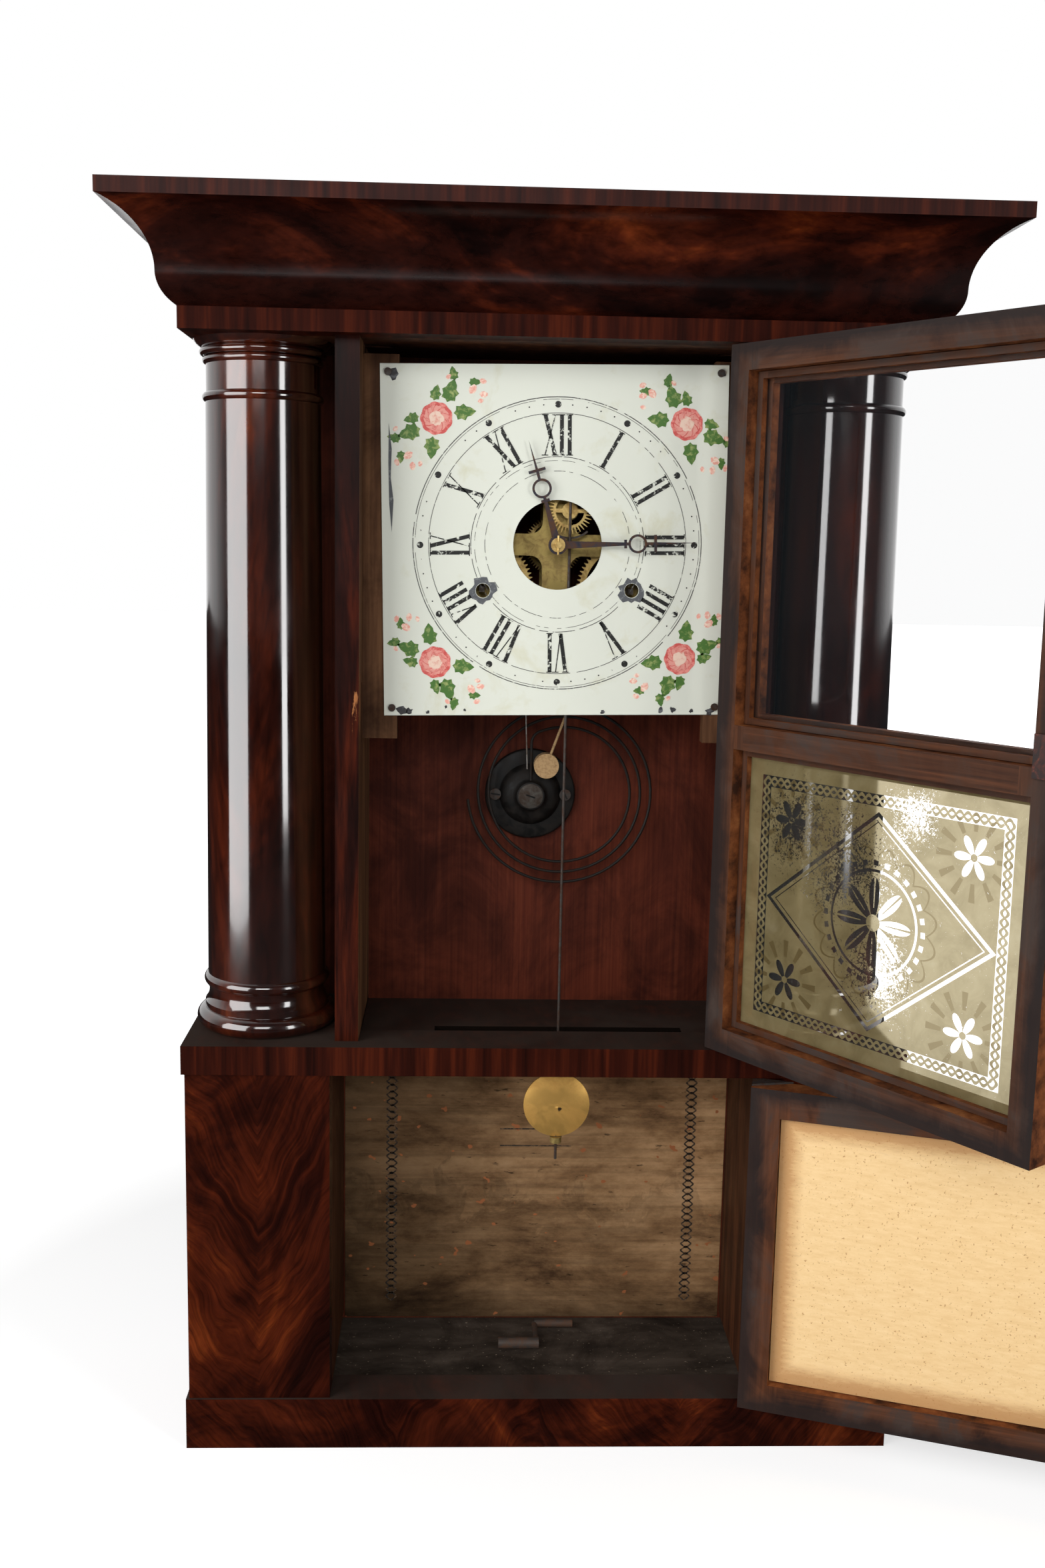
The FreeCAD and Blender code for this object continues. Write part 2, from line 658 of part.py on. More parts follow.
# Upper side boards: their front edges show as strips, with a cord notch at the top
for name, side in SIDES:
    edges = sorted((upper_half * side, side_outer * side), key=lambda edge: edge.value)
    board = box(edges, (strip_face, back), (ledge_top, frieze_foot))
    board = cut(board, cord_slot(side, frieze_foot - dim.cord_notch_depth, frieze_foot))
    if side < 0:
        mortise_y = strip_face + dim.pivot_setback + dim.pivot_forward + dim.upper_door_thickness
        mortise_reach = dim.catch_tongue_length + dim.catch_clearance
        mortise = box(
            (-upper_half - dim.catch_tongue_length + dim.catch_inset, -upper_half),
            (mortise_y, mortise_y + dim.catch_tongue_thickness + 2 * dim.catch_clearance),
            (catch_z - mortise_reach, catch_z + mortise_reach))
        board = cut(board, mortise)
    keep(board, f"upper_side_{name}")

# Frieze: front rail and two returns, with the upper pivot hole
frieze_inner = frieze_half - dim.frieze_thickness
frieze_back = front + dim.frieze_thickness
frieze = slab("Frieze", "XY_Plane", [
    (-frieze_half, front), (frieze_half, front), (frieze_half, back), (frieze_inner, back),
    (frieze_inner, frieze_back), (-frieze_inner, frieze_back), (-frieze_inner, back), (-frieze_half, back)],
    dim.frieze_height)
place(frieze, 0, 0, frieze_foot)
keep(cut(frieze, pivot_hole(upper_pivot, (frieze_foot, frieze_foot + pivot_hole_depth))), "frieze_rail")

# Cornice: an ogee with an upright fascia, mitred at the front corners
swell_radius = (dim.ogee_swell * dim.ogee_swell + dim.ogee_swell_height * dim.ogee_swell_height) / (
    2 * dim.ogee_swell)
hollow_reach = dim.cornice_projection - dim.ogee_swell
hollow_rise = dim.ogee_height - dim.ogee_swell_height
hollow_radius = (hollow_reach * hollow_reach + hollow_rise * hollow_rise) / (2 * hollow_reach)
full_height = dim.ogee_height + dim.fascia_height
mitre_reach = dim.cornice_projection + dim.frieze_thickness


def cornice_profile(outward):
    """Ogee section: distance out from the frieze face and height over the frieze."""
    turn = -outward
    return [
        (-dim.frieze_thickness * outward, 0.0),
        (0.0, 0.0, swell_radius, -turn),
        (dim.ogee_swell * outward, dim.ogee_swell_height, hollow_radius, turn),
        (dim.cornice_projection * outward, dim.ogee_height),
        (dim.cornice_projection * outward, full_height),
        (-dim.frieze_thickness * outward, full_height)]


cornice_half = frieze_half + dim.cornice_projection
cornice_face = front - dim.cornice_projection
cornice_front = slab("CorniceFront", "YZ_Plane", cornice_profile(-1), 2 * cornice_half)
for start, end in ((0.0, mitre_reach), (2 * cornice_half, 2 * cornice_half - mitre_reach)):
    mitre = new_sketch(cornice_front, "XY_Plane")
    outline(mitre, [
        (start, -dim.cornice_projection), (end, dim.frieze_thickness), (start, dim.frieze_thickness)])
    pocket(cornice_front, mitre, full_height, True)
place(cornice_front, -cornice_half, front, frieze_top)
keep(cornice_front, "cornice_front")
returns = []
for name, side in SIDES:
    moulding = slab(
        "CorniceReturn", "XZ_Plane", cornice_profile(side), back - cornice_face, backwards=True)
    mitre = new_sketch(moulding, "XY_Plane")
    outline(mitre, [
        (dim.cornice_projection * side, 0.0), (-dim.frieze_thickness * side, mitre_reach),
        (-dim.frieze_thickness * side, 0.0)])
    pocket(moulding, mitre, full_height, True)
    place(moulding, frieze_half * side, cornice_face, frieze_top)
    returns.append(moulding)
keep(group(returns), "cornice_returns")

# Boards that close the cornice below, above and behind
soffit = box((-frieze_inner, frieze_inner), (frieze_back, back), (frieze_foot, soffit_top))
for name, side in SIDES:
    soffit = cut(soffit, cord_slot(side, frieze_foot, soffit_top))
keep(soffit, "soffit_board")
top_foot = cornice_top - dim.top_inset - dim.top_thickness
keep(box((-frieze_inner, frieze_inner), (frieze_back, back), (top_foot, top_foot + dim.top_thickness)),
     "top_board")
back_half = half_width - dim.back_inset
keep(box((-back_half, back_half), (back, back + dim.back_thickness), (dim.back_inset, fascia_foot)),
     "back_board")

# Hollow columns, turned
column_height = dim.upper_height
lip_foot = dim.torus_height
scotia_foot = lip_foot + dim.base_lip_height
bead_foot = scotia_foot + dim.scotia_height
shaft_foot = bead_foot + dim.bead_height
shaft_head = column_height - dim.neck_height
neck_foot = shaft_head + dim.astragal_height
echinus_foot = column_height - dim.echinus_height
ring_foot = echinus_foot - 2 * dim.ring_height
bore = dim.column_bore / 2
torus_foot_radius = dim.torus_radius - dim.torus_swell
ring_head = ring_foot + dim.ring_height


def swell(rise, height):
    """Radius of an arc that swells by a rise over a height."""
    return (rise * rise + height * height / 4) / (2 * rise)


COLUMN = [
    (bore, 0.0),
    (torus_foot_radius, 0.0, swell(dim.torus_swell, dim.torus_height), 1),
    (torus_foot_radius, dim.torus_height),
    (dim.base_lip_radius, lip_foot),
    (dim.base_lip_radius, scotia_foot, dim.scotia_height, -1),
    (dim.shaft_foot_radius, bead_foot,
     swell(dim.bead_radius - dim.shaft_foot_radius, dim.bead_height), 1),
    (dim.shaft_foot_radius, shaft_foot),
    (dim.shaft_head_radius, shaft_head,
     swell(dim.astragal_radius - dim.shaft_head_radius, dim.astragal_height), 1),
    (dim.neck_radius, neck_foot),
    (dim.neck_radius, ring_foot, swell(dim.ring_radius - dim.neck_radius, dim.ring_height), 1),
    (dim.neck_radius, ring_head),
    (dim.ring_radius, ring_head, swell(dim.upper_ring_radius - dim.ring_radius, dim.ring_height), 1),
    (dim.ring_radius, echinus_foot, 2 * dim.echinus_height, 1),
    (dim.echinus_radius, column_height),
    (bore, column_height)]
for name, side in SIDES:
    column = turned("Column", COLUMN)
    place(column, column_x * side, column_y, ledge_top)
    keep(column, f"column_{name}")


# Doors are drawn shut, in a frame at the pivot, and then stand open at their rest angles
def swing(item, pivot, angle):
    """Turn a piece drawn at the pivot to the door's rest angle."""
    piece = group([item])
    place(piece, pivot[0], pivot[1], 0, (0, 0, 1), angle)
    return piece


def door_frame(width, span, thickness, face, rails, stile, step, lip):
    """A frame of stiles and rails with a rabbeted opening between each pair of rails.

    Drawn at the pivot: the hinge edge at +pivot_inset, the face at +pivot_forward.
    """
    edge = dim.pivot_inset
    low, high = span
    frame = box((edge - width, edge), (face, face + thickness), (low, high))
    for foot, head in rails:
        sight = box((edge - width + stile, edge - stile), (face, face + thickness), (foot, head))
        rabbet = box(
            (edge - width + stile - step, edge - stile + step), (face + lip, face + thickness),
            (foot - step, head + step))
        frame = cut(cut(frame, sight), rabbet)
    return frame


def pane(width, stile, step, face, opening, thickness):
    """A sheet that fills a rabbet with clearance all round."""
    edge = dim.pivot_inset
    gap = dim.glass_clearance
    return box(
        (edge - width + stile - step + gap, edge - stile + step - gap), (face, face + thickness),
        (opening[0] - step + gap, opening[1] + step - gap))


def pivots(pivot, span, angle):
    """Plates on the top and bottom edges of a door, each with its pin."""
    pieces = []
    face = dim.pivot_forward
    for level, way in ((span[0] - dim.pivot_plate, -1), (span[1], 1)):
        plate = slab("PivotPlate", "XY_Plane", [
            (-dim.pivot_plate_length, face), (-1.25 * dim.pivot_ear, face),
            (0.0, -dim.pivot_ear, dim.pivot_ear, 1), (dim.pivot_ear, 0.0),
            (dim.pivot_inset, face + dim.pivot_plate_depth)], dim.pivot_plate)
        pin = cylinder(dim.pivot_radius, dim.pivot_length + dim.pivot_plate)
        if way < 0:
            place(pin, 0, 0, -dim.pivot_length)
        plate = fuse([plate, pin])
        place(plate, pivot[0], pivot[1], level, (0, 0, 1), angle)
        pieces.append(plate)
    return group(pieces)


upper_width = 2 * (upper_half - dim.door_gap)
upper_span = (ledge_top + dim.door_gap, frieze_foot - dim.door_gap)
middle = upper_span[0] + dim.middle_rail_height
upper_openings = [
    (upper_span[0] + dim.upper_rail, middle - dim.middle_rail / 2),
    (middle + dim.middle_rail / 2, upper_span[1] - dim.upper_rail)]
door_face = dim.pivot_forward
spindle_x = dim.pivot_inset - upper_width + dim.catch_inset
spindle_hole = rod_along_y(
    spindle_x, catch_z, (door_face, door_face + dim.upper_door_thickness),
    dim.catch_spindle_radius + dim.running_clearance)
upper_frame = cut(door_frame(
    upper_width, upper_span, dim.upper_door_thickness, door_face, upper_openings,
    dim.upper_stile, dim.rabbet_step, dim.rabbet_lip), spindle_hole)
keep(swing(upper_frame, upper_pivot, dim.upper_door_angle), "upper_door_frame")
glass_face = door_face + dim.rabbet_lip
for name, opening in (("tablet_glass", upper_openings[0]), ("upper_glass", upper_openings[1])):
    sheet_glass = pane(
        upper_width, dim.upper_stile, dim.rabbet_step, glass_face, opening, dim.glass_thickness)
    keep(swing(sheet_glass, upper_pivot, dim.upper_door_angle), name)
beads = []
bead_face = glass_face + dim.glass_thickness
for opening in upper_openings:
    inner = pane(
        upper_width, dim.upper_stile, dim.rabbet_step - dim.glazing_bead, bead_face,
        opening, dim.glazing_bead)
    outer = pane(upper_width, dim.upper_stile, dim.rabbet_step, bead_face, opening, dim.glazing_bead)
    beads.append(cut(outer, inner))
keep(swing(group(beads), upper_pivot, dim.upper_door_angle), "glazing_beads")
keep(pivots(upper_pivot, upper_span, dim.upper_door_angle), "upper_pivots")

# Catch: knob, spindle and a tongue that turns behind the strip
door_back = door_face + dim.upper_door_thickness
tongue_face = door_back + dim.catch_clearance / 2
tongue = box(
    (spindle_x - dim.catch_tongue_width / 2, spindle_x + dim.catch_tongue_width / 2),
    (tongue_face, tongue_face + dim.catch_tongue_thickness),
    (catch_z - dim.catch_tongue_width / 2, catch_z + dim.catch_tongue_length))
knob_foot = dim.catch_clearance / 2
knob = turned("CatchKnob", [
    (0.0, knob_foot), (dim.catch_knob_radius * 0.6, knob_foot),
    (dim.catch_knob_radius * 0.5, dim.catch_knob_length / 2),
    (dim.catch_knob_radius, dim.catch_knob_length * 0.7, dim.catch_knob_radius, 1),
    (dim.catch_knob_radius * 0.5, dim.catch_knob_length), (0.0, dim.catch_knob_length)])
place(knob, spindle_x, door_face, catch_z, (1, 0, 0), 90)
spindle = rod_along_y(
    spindle_x, catch_z, (door_face - dim.catch_knob_length / 2, tongue_face + dim.catch_tongue_thickness),
    dim.catch_spindle_radius)
keep(swing(fuse([knob, spindle, tongue]), upper_pivot, dim.upper_door_angle), "door_catch")

lower_width = 2 * (lower_half - dim.door_gap)
lower_door_span = (plinth_top + dim.door_gap, ledge_foot - dim.door_gap)
lower_opening = (lower_door_span[0] + dim.lower_stile, lower_door_span[1] - dim.lower_stile)
keep(swing(door_frame(
    lower_width, lower_door_span, dim.lower_door_thickness, door_face, [lower_opening],
    dim.lower_stile, dim.rabbet_step, dim.lower_lip), lower_pivot, dim.lower_door_angle), "lower_door_frame")
keep(swing(pane(
    lower_width, dim.lower_stile, dim.rabbet_step, door_face + dim.lower_lip, lower_opening,
    dim.panel_thickness), lower_pivot, dim.lower_door_angle), "lower_door_panel")
keep(pivots(lower_pivot, lower_door_span, dim.lower_door_angle), "lower_pivots")

# Paper label on the back board of the lower compartment
keep(box(
    (-lower_half + dim.label_margin, lower_half - dim.label_margin), (back - dim.label_thickness, back),
    (floor_top + dim.label_margin, ledge_foot - dim.label_margin)), "paper_label")

# Dial, its rails and its pins
dial_half = upper_half - dim.dial_side_gap
dial_low = -dim.dial_height / 2
axis_drop = hand_z - dial_z
dial = slab(
    "Dial", "XZ_Plane", rectangle(-dial_half, dial_half, dial_low, -dial_low), dim.dial_thickness,
    holes=[
        (hand_x, axis_drop, dim.dial_hole_radius),
        (drum_x(-1), axis_drop - dim.winding_drop, dim.winding_hole_radius),
        (drum_x(1), axis_drop - dim.winding_drop, dim.winding_hole_radius)], backwards=True)
pin_hole_radius = dim.dial_pin_radius + dim.running_clearance
dial_pins = []
pin_spots = [(x, z) for x in (-1, 1) for z in (-1, 1)]
pin_x = dial_half - dim.dial_pin_inset
pin_z = dim.dial_height / 2 - dim.dial_pin_inset
tilted_dial = cut_all(dial, [
    rod_along_y(pin_x * x, pin_z * z, (0, dim.dial_thickness), pin_hole_radius) for x, z in pin_spots])
place(tilted_dial, 0, dial_face, dial_z, (0, -1, 0), dim.dial_tilt)
keep(tilted_dial, "dial_plate")
pin_body = [(0.0, 0.0), (dim.dial_pin_radius, 0.0), (dim.dial_pin_radius, dim.dial_pin_length)]
pin_head = [
    (2 * dim.dial_pin_radius, dim.dial_pin_length),
    (2 * dim.dial_pin_radius, dim.dial_pin_length + dim.dial_pin_radius),
    (0.0, dim.dial_pin_length + dim.dial_pin_radius)]
for x, z in pin_spots:
    pin = turned("DialPin", pin_body + pin_head)
    place(pin, pin_x * x, dim.dial_pin_length, pin_z * z, (1, 0, 0), 90)
    dial_pins.append(pin)
pins = group(dial_pins)
place(pins, 0, dial_face, dial_z, (0, -1, 0), dim.dial_tilt)
keep(pins, "dial_pins")
rail_span = (
    dial_z - dim.dial_height / 2 - dim.dial_rail_drop,
    dial_z + dim.dial_height / 2 + dim.dial_rail_rise)
rail_inner = upper_half - dim.dial_rail_width
rail_holes = []
for x, z in pin_spots:
    hole = rod_along_y(pin_x * x, pin_z * z, (dim.dial_thickness, dim.dial_pin_length), pin_hole_radius)
    rail_holes.append(hole)
drilled = group(rail_holes)
place(drilled, 0, dial_face, dial_z, (0, -1, 0), dim.dial_tilt)
rails = [
    cut(box(edges, (dial_back, dial_back + dim.dial_rail_depth), rail_span), drilled)
    for edges in ((-upper_half, -rail_inner), (rail_inner, upper_half))]
keep(group(rails), "dial_rails")


# Movement plates: an outer frame with a cross of straps and four windows
def movement_plate(y, holes):
    """A pierced plate, with its holes given from the hands as (x, height, radius)."""
    plate = slab(
        "Plate", "XZ_Plane",
        rectangle(-dim.plate_half_width, dim.plate_half_width, -dim.plate_drop, dim.plate_rise),
        dim.plate_thickness, holes=holes, backwards=True)
    curve = dim.plate_window_round
    for x in (-1, 1):
        for z in (-1, 1):
            low_x, high_x = sorted(
                (dim.plate_bar * x, dim.plate_window_side * x), key=lambda edge: edge.value)
            low_z, high_z = sorted((dim.plate_arm * z, dim.plate_window_end * z), key=lambda edge: edge.value)
            window = new_sketch(plate, "XZ_Plane")
            outline(window, [
                (low_x + curve, low_z), (high_x - curve, low_z, curve, 1), (high_x, low_z + curve),
                (high_x, high_z - curve, curve, 1), (high_x - curve, high_z),
                (low_x + curve, high_z, curve, 1),
                (low_x, high_z - curve), (low_x, low_z + curve, curve, 1)])
            pocket(plate, window, dim.plate_thickness)
    place(plate, hand_x, y, hand_z)
    return plate


arbor_hole = dim.arbor_radius + dim.running_clearance
post_hole = dim.post_radius
posts_at = [
    (dim.post_top_x, dim.post_top_rise), (-dim.post_top_x, dim.post_top_rise),
    (dim.post_foot_x, -dim.post_foot_drop), (-dim.post_foot_x, -dim.post_foot_drop)]
pivots_at = [
    (0.0, 0.0), (dim.winding_x, -dim.winding_drop), (-dim.winding_x, -dim.winding_drop),
    (dim.escape_x, dim.escape_rise), (dim.count_x, dim.count_rise), (-dim.fly_x, dim.fly_rise)]
plate_holes = [(x, z, arbor_hole) for x, z in pivots_at] + [(x, z, post_hole) for x, z in posts_at]
plate_window_holes = [hole for hole in plate_holes if hole[0] is not dim.escape_x]
escape_boss = rod_along_y(
    hand_x + dim.escape_x, hand_z + dim.escape_rise, (plate_face, plate_inner), 3 * dim.arbor_radius)
verge_gap = dim.escape_radius + dim.verge_clearance
verge_z = hand_z + dim.escape_rise - verge_gap - 1.5 * dim.verge_thickness - dim.verge_hub_radius
verge_x = hand_x + dim.escape_x
escape_face = plate_face - dim.escape_gap - dim.escape_thickness
verge_face = escape_face + dim.escape_thickness / 2 - dim.verge_width / 2
verge_pin = rod_along_y(verge_x, verge_z, (verge_face - dim.end_shake, plate_inner), dim.verge_pin_radius)
verge_foot = rod_along_y(
    verge_x, verge_z, (verge_face + dim.verge_width + dim.end_shake, plate_inner), 2 * dim.verge_pin_radius)
suspension = rod_along_y(
    dim.pendulum_x, pivot_z,
    (pendulum_y - dim.pendulum_gap / 2, plate_inner), dim.pendulum_pin_radius)
suspension_boss = rod_along_y(
    dim.pendulum_x, pivot_z,
    (pendulum_y + dim.pendulum_gap / 2, plate_inner), 2 * dim.pendulum_pin_radius)
front_plate = fuse([
    movement_plate(plate_face, plate_window_holes), escape_boss, verge_pin, verge_foot,
    suspension, suspension_boss])
escape_hole = rod_along_y(
    hand_x + dim.escape_x, hand_z + dim.escape_rise, (plate_face, plate_inner), arbor_hole)
keep(cut(front_plate, escape_hole), "front_plate")
hammer_pivot_z = hand_z - dim.hammer_pivot_drop
hammer_hub_face = back_plate_back + dim.hammer_gap
hammer_stud = rod_along_y(
    dim.hammer_pivot_x, hammer_pivot_z,
    (back_plate_face, hammer_hub_face + dim.hammer_hub_length + dim.hammer_gap), dim.arbor_radius)
back_boss = rod_along_y(
    hand_x + dim.escape_x, hand_z + dim.escape_rise, (back_plate_face, back_plate_back), 3 * dim.arbor_radius)
back_plate = fuse([
    movement_plate(back_plate_face, plate_window_holes), back_boss, hammer_stud])
back_escape_hole = rod_along_y(
    hand_x + dim.escape_x, hand_z + dim.escape_rise, (back_plate_face, back_plate_back), arbor_hole)
keep(cut(back_plate, back_escape_hole), "back_plate")
keep(group([
    rod_along_y(hand_x + x, hand_z + z, (plate_face - dim.post_end, back), dim.post_radius)
    for x, z in posts_at]), "movement_posts")


def wheel_shape(radius, teeth, depth, thickness, slant, crossings):
    """A toothed wheel about its own +Z axis, with spoke windows."""
    points = []
    for tooth in range(teeth):
        root = radius - depth
        for share, distance in ((0.0, root), (slant, radius), (slant + 0.12, radius), (0.62, root)):
            angle = 2 * math.pi * (tooth + share) / teeth
            points.append(Vector(distance * math.cos(angle), distance * math.sin(angle), 0))
    points.append(points[0])
    disc = Part.Face(Part.makePolygon(points)).extrude(Vector(0, 0, thickness))
    hub = 0.34 * radius
    rim = radius - depth - 0.1 * radius
    windows = Part.makeCylinder(rim, thickness).cut(Part.makeCylinder(hub, thickness))
    for spoke in range(crossings):
        bar = Part.makeBox(rim, 0.16 * radius, thickness, Vector(0, -0.08 * radius, 0))
        bar.rotate(Vector(0, 0, 0), Vector(0, 0, 1), 360 * spoke / crossings)
        windows = windows.cut(bar)
    return disc.cut(windows)


def wheel(radius, teeth, depth, thickness, y, slant=0.25, crossings=4):
    """A toothed wheel that stands across the depth of the case at a bound plane."""
    piece = doc.addObject("Part::Feature", "Wheel")
    piece.Shape = wheel_shape(
        radius.value, int(teeth.value), depth.value, thickness.value, slant, crossings)
    place(piece, 0, y, 0, (1, 0, 0), -90)
    return piece


def about(item, x, z):
    """Stand a piece drawn on the depth axis at a point of the front view."""
    place(item, x, 0, z)
    return item


# Cord drums: great wheel, drum and winding arbor turn together
wheel_face = plate_inner + 2 * dim.wheel_thickness + dim.end_shake
drum_face = wheel_face + dim.wheel_thickness
back_end = back_plate_back - dim.end_shake
winding_end = dial_face + dim.winding_end_gap
for name, side in SIDES:
    arbor = rod_along_y(0, 0, (plate_face, back_end), dim.arbor_radius)
    half_square = dim.winding_square / 2
    square_edges = (-half_square, half_square)
    square = box(square_edges, (winding_end, plate_face - dim.end_shake), square_edges)
    shank = rod_along_y(0, 0, (winding_end, plate_face), dim.arbor_radius * 0.9)
    roller = rod_along_y(0, 0, (drum_face, drum_face + dim.drum_length), dim.drum_radius)
    collar = rod_along_y(0, 0, (plate_inner + dim.end_shake, wheel_face), 2 * dim.arbor_radius)
    great = wheel(
        dim.great_wheel_radius, dim.great_wheel_teeth, dim.tooth_depth, dim.wheel_thickness, wheel_face)
    drum = fuse([arbor, square, shank, collar, great, roller])
    keep(about(drum, drum_x(side), drum_z), f"cord_drum_{name}")

# Centre arbor with its wheel, hour pipe and hands
hour_face = dial_face - dim.hour_hand_gap - dim.hand_thickness
minute_face = hour_face - dim.hand_gap - dim.hand_thickness
pin_face = minute_face - dim.washer_thickness - 4 * dim.taper_pin_radius
centre_wheel_face = back_plate_face - 3 * dim.wheel_thickness
centre_wheel = wheel(
    dim.centre_wheel_radius, dim.centre_wheel_teeth, dim.tooth_depth, dim.wheel_thickness, centre_wheel_face)
centre_rod = rod_along_y(0, 0, (pin_face, back_end), dim.arbor_radius)
pin_hole = rod_along_z(
    0, pin_face + 2 * dim.taper_pin_radius, (-dim.arbor_radius, dim.arbor_radius), dim.taper_pin_radius)
keep(about(cut(fuse([centre_rod, centre_wheel]), pin_hole), hand_x, hand_z), "centre_arbor")
pipe_foot = plate_face - dim.end_shake
pipe = cut(
    fuse([
        rod_along_y(0, 0, (hour_face + dim.hand_thickness, pipe_foot), dim.pipe_radius),
        rod_along_y(0, 0, (hour_face, pipe_foot), dim.pipe_radius - dim.hand_thickness)]),
    rod_along_y(0, 0, (hour_face, pipe_foot), arbor_hole))
keep(about(pipe, hand_x, hand_z), "hour_pipe")


def hand(length, ring_distance, ring_radius, bore_radius, face, angle):
    """A hand that points up: hub, tapering blade, ring, two cross bars and a tip."""
    root = dim.hand_root_width / 2
    neck = dim.hand_neck_width / 2
    inner = ring_distance - ring_radius
    outer = ring_distance + ring_radius
    bar = dim.hand_bar / 2
    blade = slab("HandBlade", "XZ_Plane", [
        (-root, dim.hand_hub_radius / 2), (root, dim.hand_hub_radius / 2), (neck, inner + neck),
        (-neck, inner + neck)], dim.hand_thickness, backwards=True)
    tip = slab("HandTip", "XZ_Plane", [
        (-neck, outer - neck), (neck, outer - neck), (neck, outer + 4 * neck), (0.0, length),
        (-neck, outer + 4 * neck)], dim.hand_thickness, backwards=True)
    bars = [
        box((-bar * share, bar * share), (0, dim.hand_thickness), (level - neck, level + neck))
        for level, share in ((inner - 2 * neck, 0.5), (outer + 6 * neck, 1.0))]
    loop = cut(
        rod_along_y(0, ring_distance, (0, dim.hand_thickness), ring_radius),
        rod_along_y(0, ring_distance, (0, dim.hand_thickness), ring_radius - dim.hand_ring_width))
    hub = rod_along_y(0, 0, (0, dim.hand_thickness), dim.hand_hub_radius)
    whole = cut(fuse([hub, blade, tip, loop] + bars), rod_along_y(0, 0, (0, dim.hand_thickness), bore_radius))
    place(whole, hand_x, face, hand_z, (0, 1, 0), angle)
    return whole


keep(hand(
    dim.hour_hand_length, dim.hour_ring_distance, dim.hour_ring_radius,
    dim.pipe_radius - dim.hand_thickness, hour_face, dim.hour_hand_angle), "hour_hand")
keep(hand(
    dim.minute_hand_length, dim.minute_ring_distance, dim.minute_ring_radius,
    dim.arbor_radius, minute_face, dim.minute_hand_angle), "minute_hand")
washer = cut(
    rod_along_y(0, 0, (minute_face - dim.washer_thickness, minute_face), dim.washer_radius),
    rod_along_y(0, 0, (minute_face - dim.washer_thickness, minute_face), dim.arbor_radius))
taper_pin = rod_along_z(
    0, pin_face + 2 * dim.taper_pin_radius, (-dim.taper_pin_length / 2, dim.taper_pin_length / 2),
    dim.taper_pin_radius)
keep(about(group([washer, taper_pin]), hand_x, hand_z), "hand_washer_and_pin")

# Escape wheel in front of the front plate, with its arbor
escape_arbor = rod_along_y(0, 0, (escape_face - dim.end_shake, back_end), dim.arbor_radius)
escape_wheel = wheel(
    dim.escape_radius, dim.escape_teeth, dim.escape_tooth_depth, dim.escape_thickness, escape_face, 0.08)
keep(about(fuse([escape_arbor, escape_wheel]), verge_x, hand_z + dim.escape_rise), "escape_wheel")

# Verge: a bent strip under the escape wheel, its hub and its crutch with a fork for the rod
reach = math.sin(math.radians(dim.verge_half_angle.value))
drop = math.cos(math.radians(dim.verge_half_angle.value))
strip_outer = verge_gap + dim.verge_thickness
strip = slab("VergeStrip", "XZ_Plane", [
    (-strip_outer * reach, -strip_outer * drop, strip_outer, 1), (strip_outer * reach, -strip_outer * drop),
    (verge_gap * reach, -verge_gap * drop, verge_gap, -1), (-verge_gap * reach, -verge_gap * drop)],
    dim.verge_width, backwards=True)
place(strip, verge_x, verge_face, hand_z + dim.escape_rise)
verge_span = (verge_face, verge_face + dim.verge_width)
verge_bore = rod_along_y(verge_x, verge_z, verge_span, dim.verge_pin_radius + dim.running_clearance)
verge_hub = cut(rod_along_y(verge_x, verge_z, verge_span, dim.verge_hub_radius), verge_bore)
verge_collar = (dim.verge_pin_radius + dim.verge_hub_radius) / 2
verge_lug = box(
    (verge_x - dim.verge_hub_radius / 2, verge_x + dim.verge_hub_radius / 2), verge_span,
    (verge_z + verge_collar, verge_z + dim.verge_hub_radius + dim.verge_thickness))
crutch_y = verge_face + dim.verge_width / 2
crutch = rod_along_z(verge_x, crutch_y, (crutch_foot, verge_z - verge_collar), dim.crutch_radius)
fork_half = dim.rod_radius + 2 * dim.crutch_radius
fork_level = (crutch_foot - dim.crutch_radius, crutch_foot + dim.crutch_radius)
fork_outer = fork_half + dim.crutch_radius
fork_inner = fork_half - dim.crutch_radius
fork_back = crutch_y + dim.crutch_radius
fork_block = box(
    (verge_x - fork_outer, verge_x + fork_outer),
    (pendulum_y - dim.rod_radius - dim.crutch_radius, fork_back), fork_level)
fork_slot = box(
    (verge_x - fork_inner, verge_x + fork_inner),
    (pendulum_y - dim.rod_radius - dim.crutch_radius, crutch_y - dim.crutch_radius), fork_level)
fork = cut(fork_block, fork_slot)
keep(fuse([strip, verge_hub, verge_lug, crutch, fork]), "verge")

# Count wheel: a disc with slots round its rim
count_face = plate_inner + plate_spacing / 2 + dim.wheel_thickness
count_arbor = rod_along_y(0, 0, (plate_face, back_end), dim.arbor_radius)
count_wheel = doc.addObject("Part::Feature", "CountWheel")
count_shape = Part.makeCylinder(dim.count_radius.value, dim.wheel_thickness.value)
for index in range(int(dim.count_slots.value)):
    notch = Part.makeBox(
        dim.count_slot_depth.value, dim.count_slot_width.value, dim.wheel_thickness.value,
        Vector(dim.count_radius.value - dim.count_slot_depth.value, -dim.count_slot_width.value / 2, 0))
    notch.rotate(Vector(0, 0, 0), Vector(0, 0, 1), 360 * math.sqrt(index / dim.count_slots.value))
    count_shape = count_shape.cut(notch)
count_wheel.Shape = count_shape
place(count_wheel, 0, count_face, 0, (1, 0, 0), -90)
keep(about(fuse([count_arbor, count_wheel]), hand_x + dim.count_x, hand_z + dim.count_rise), "count_wheel")

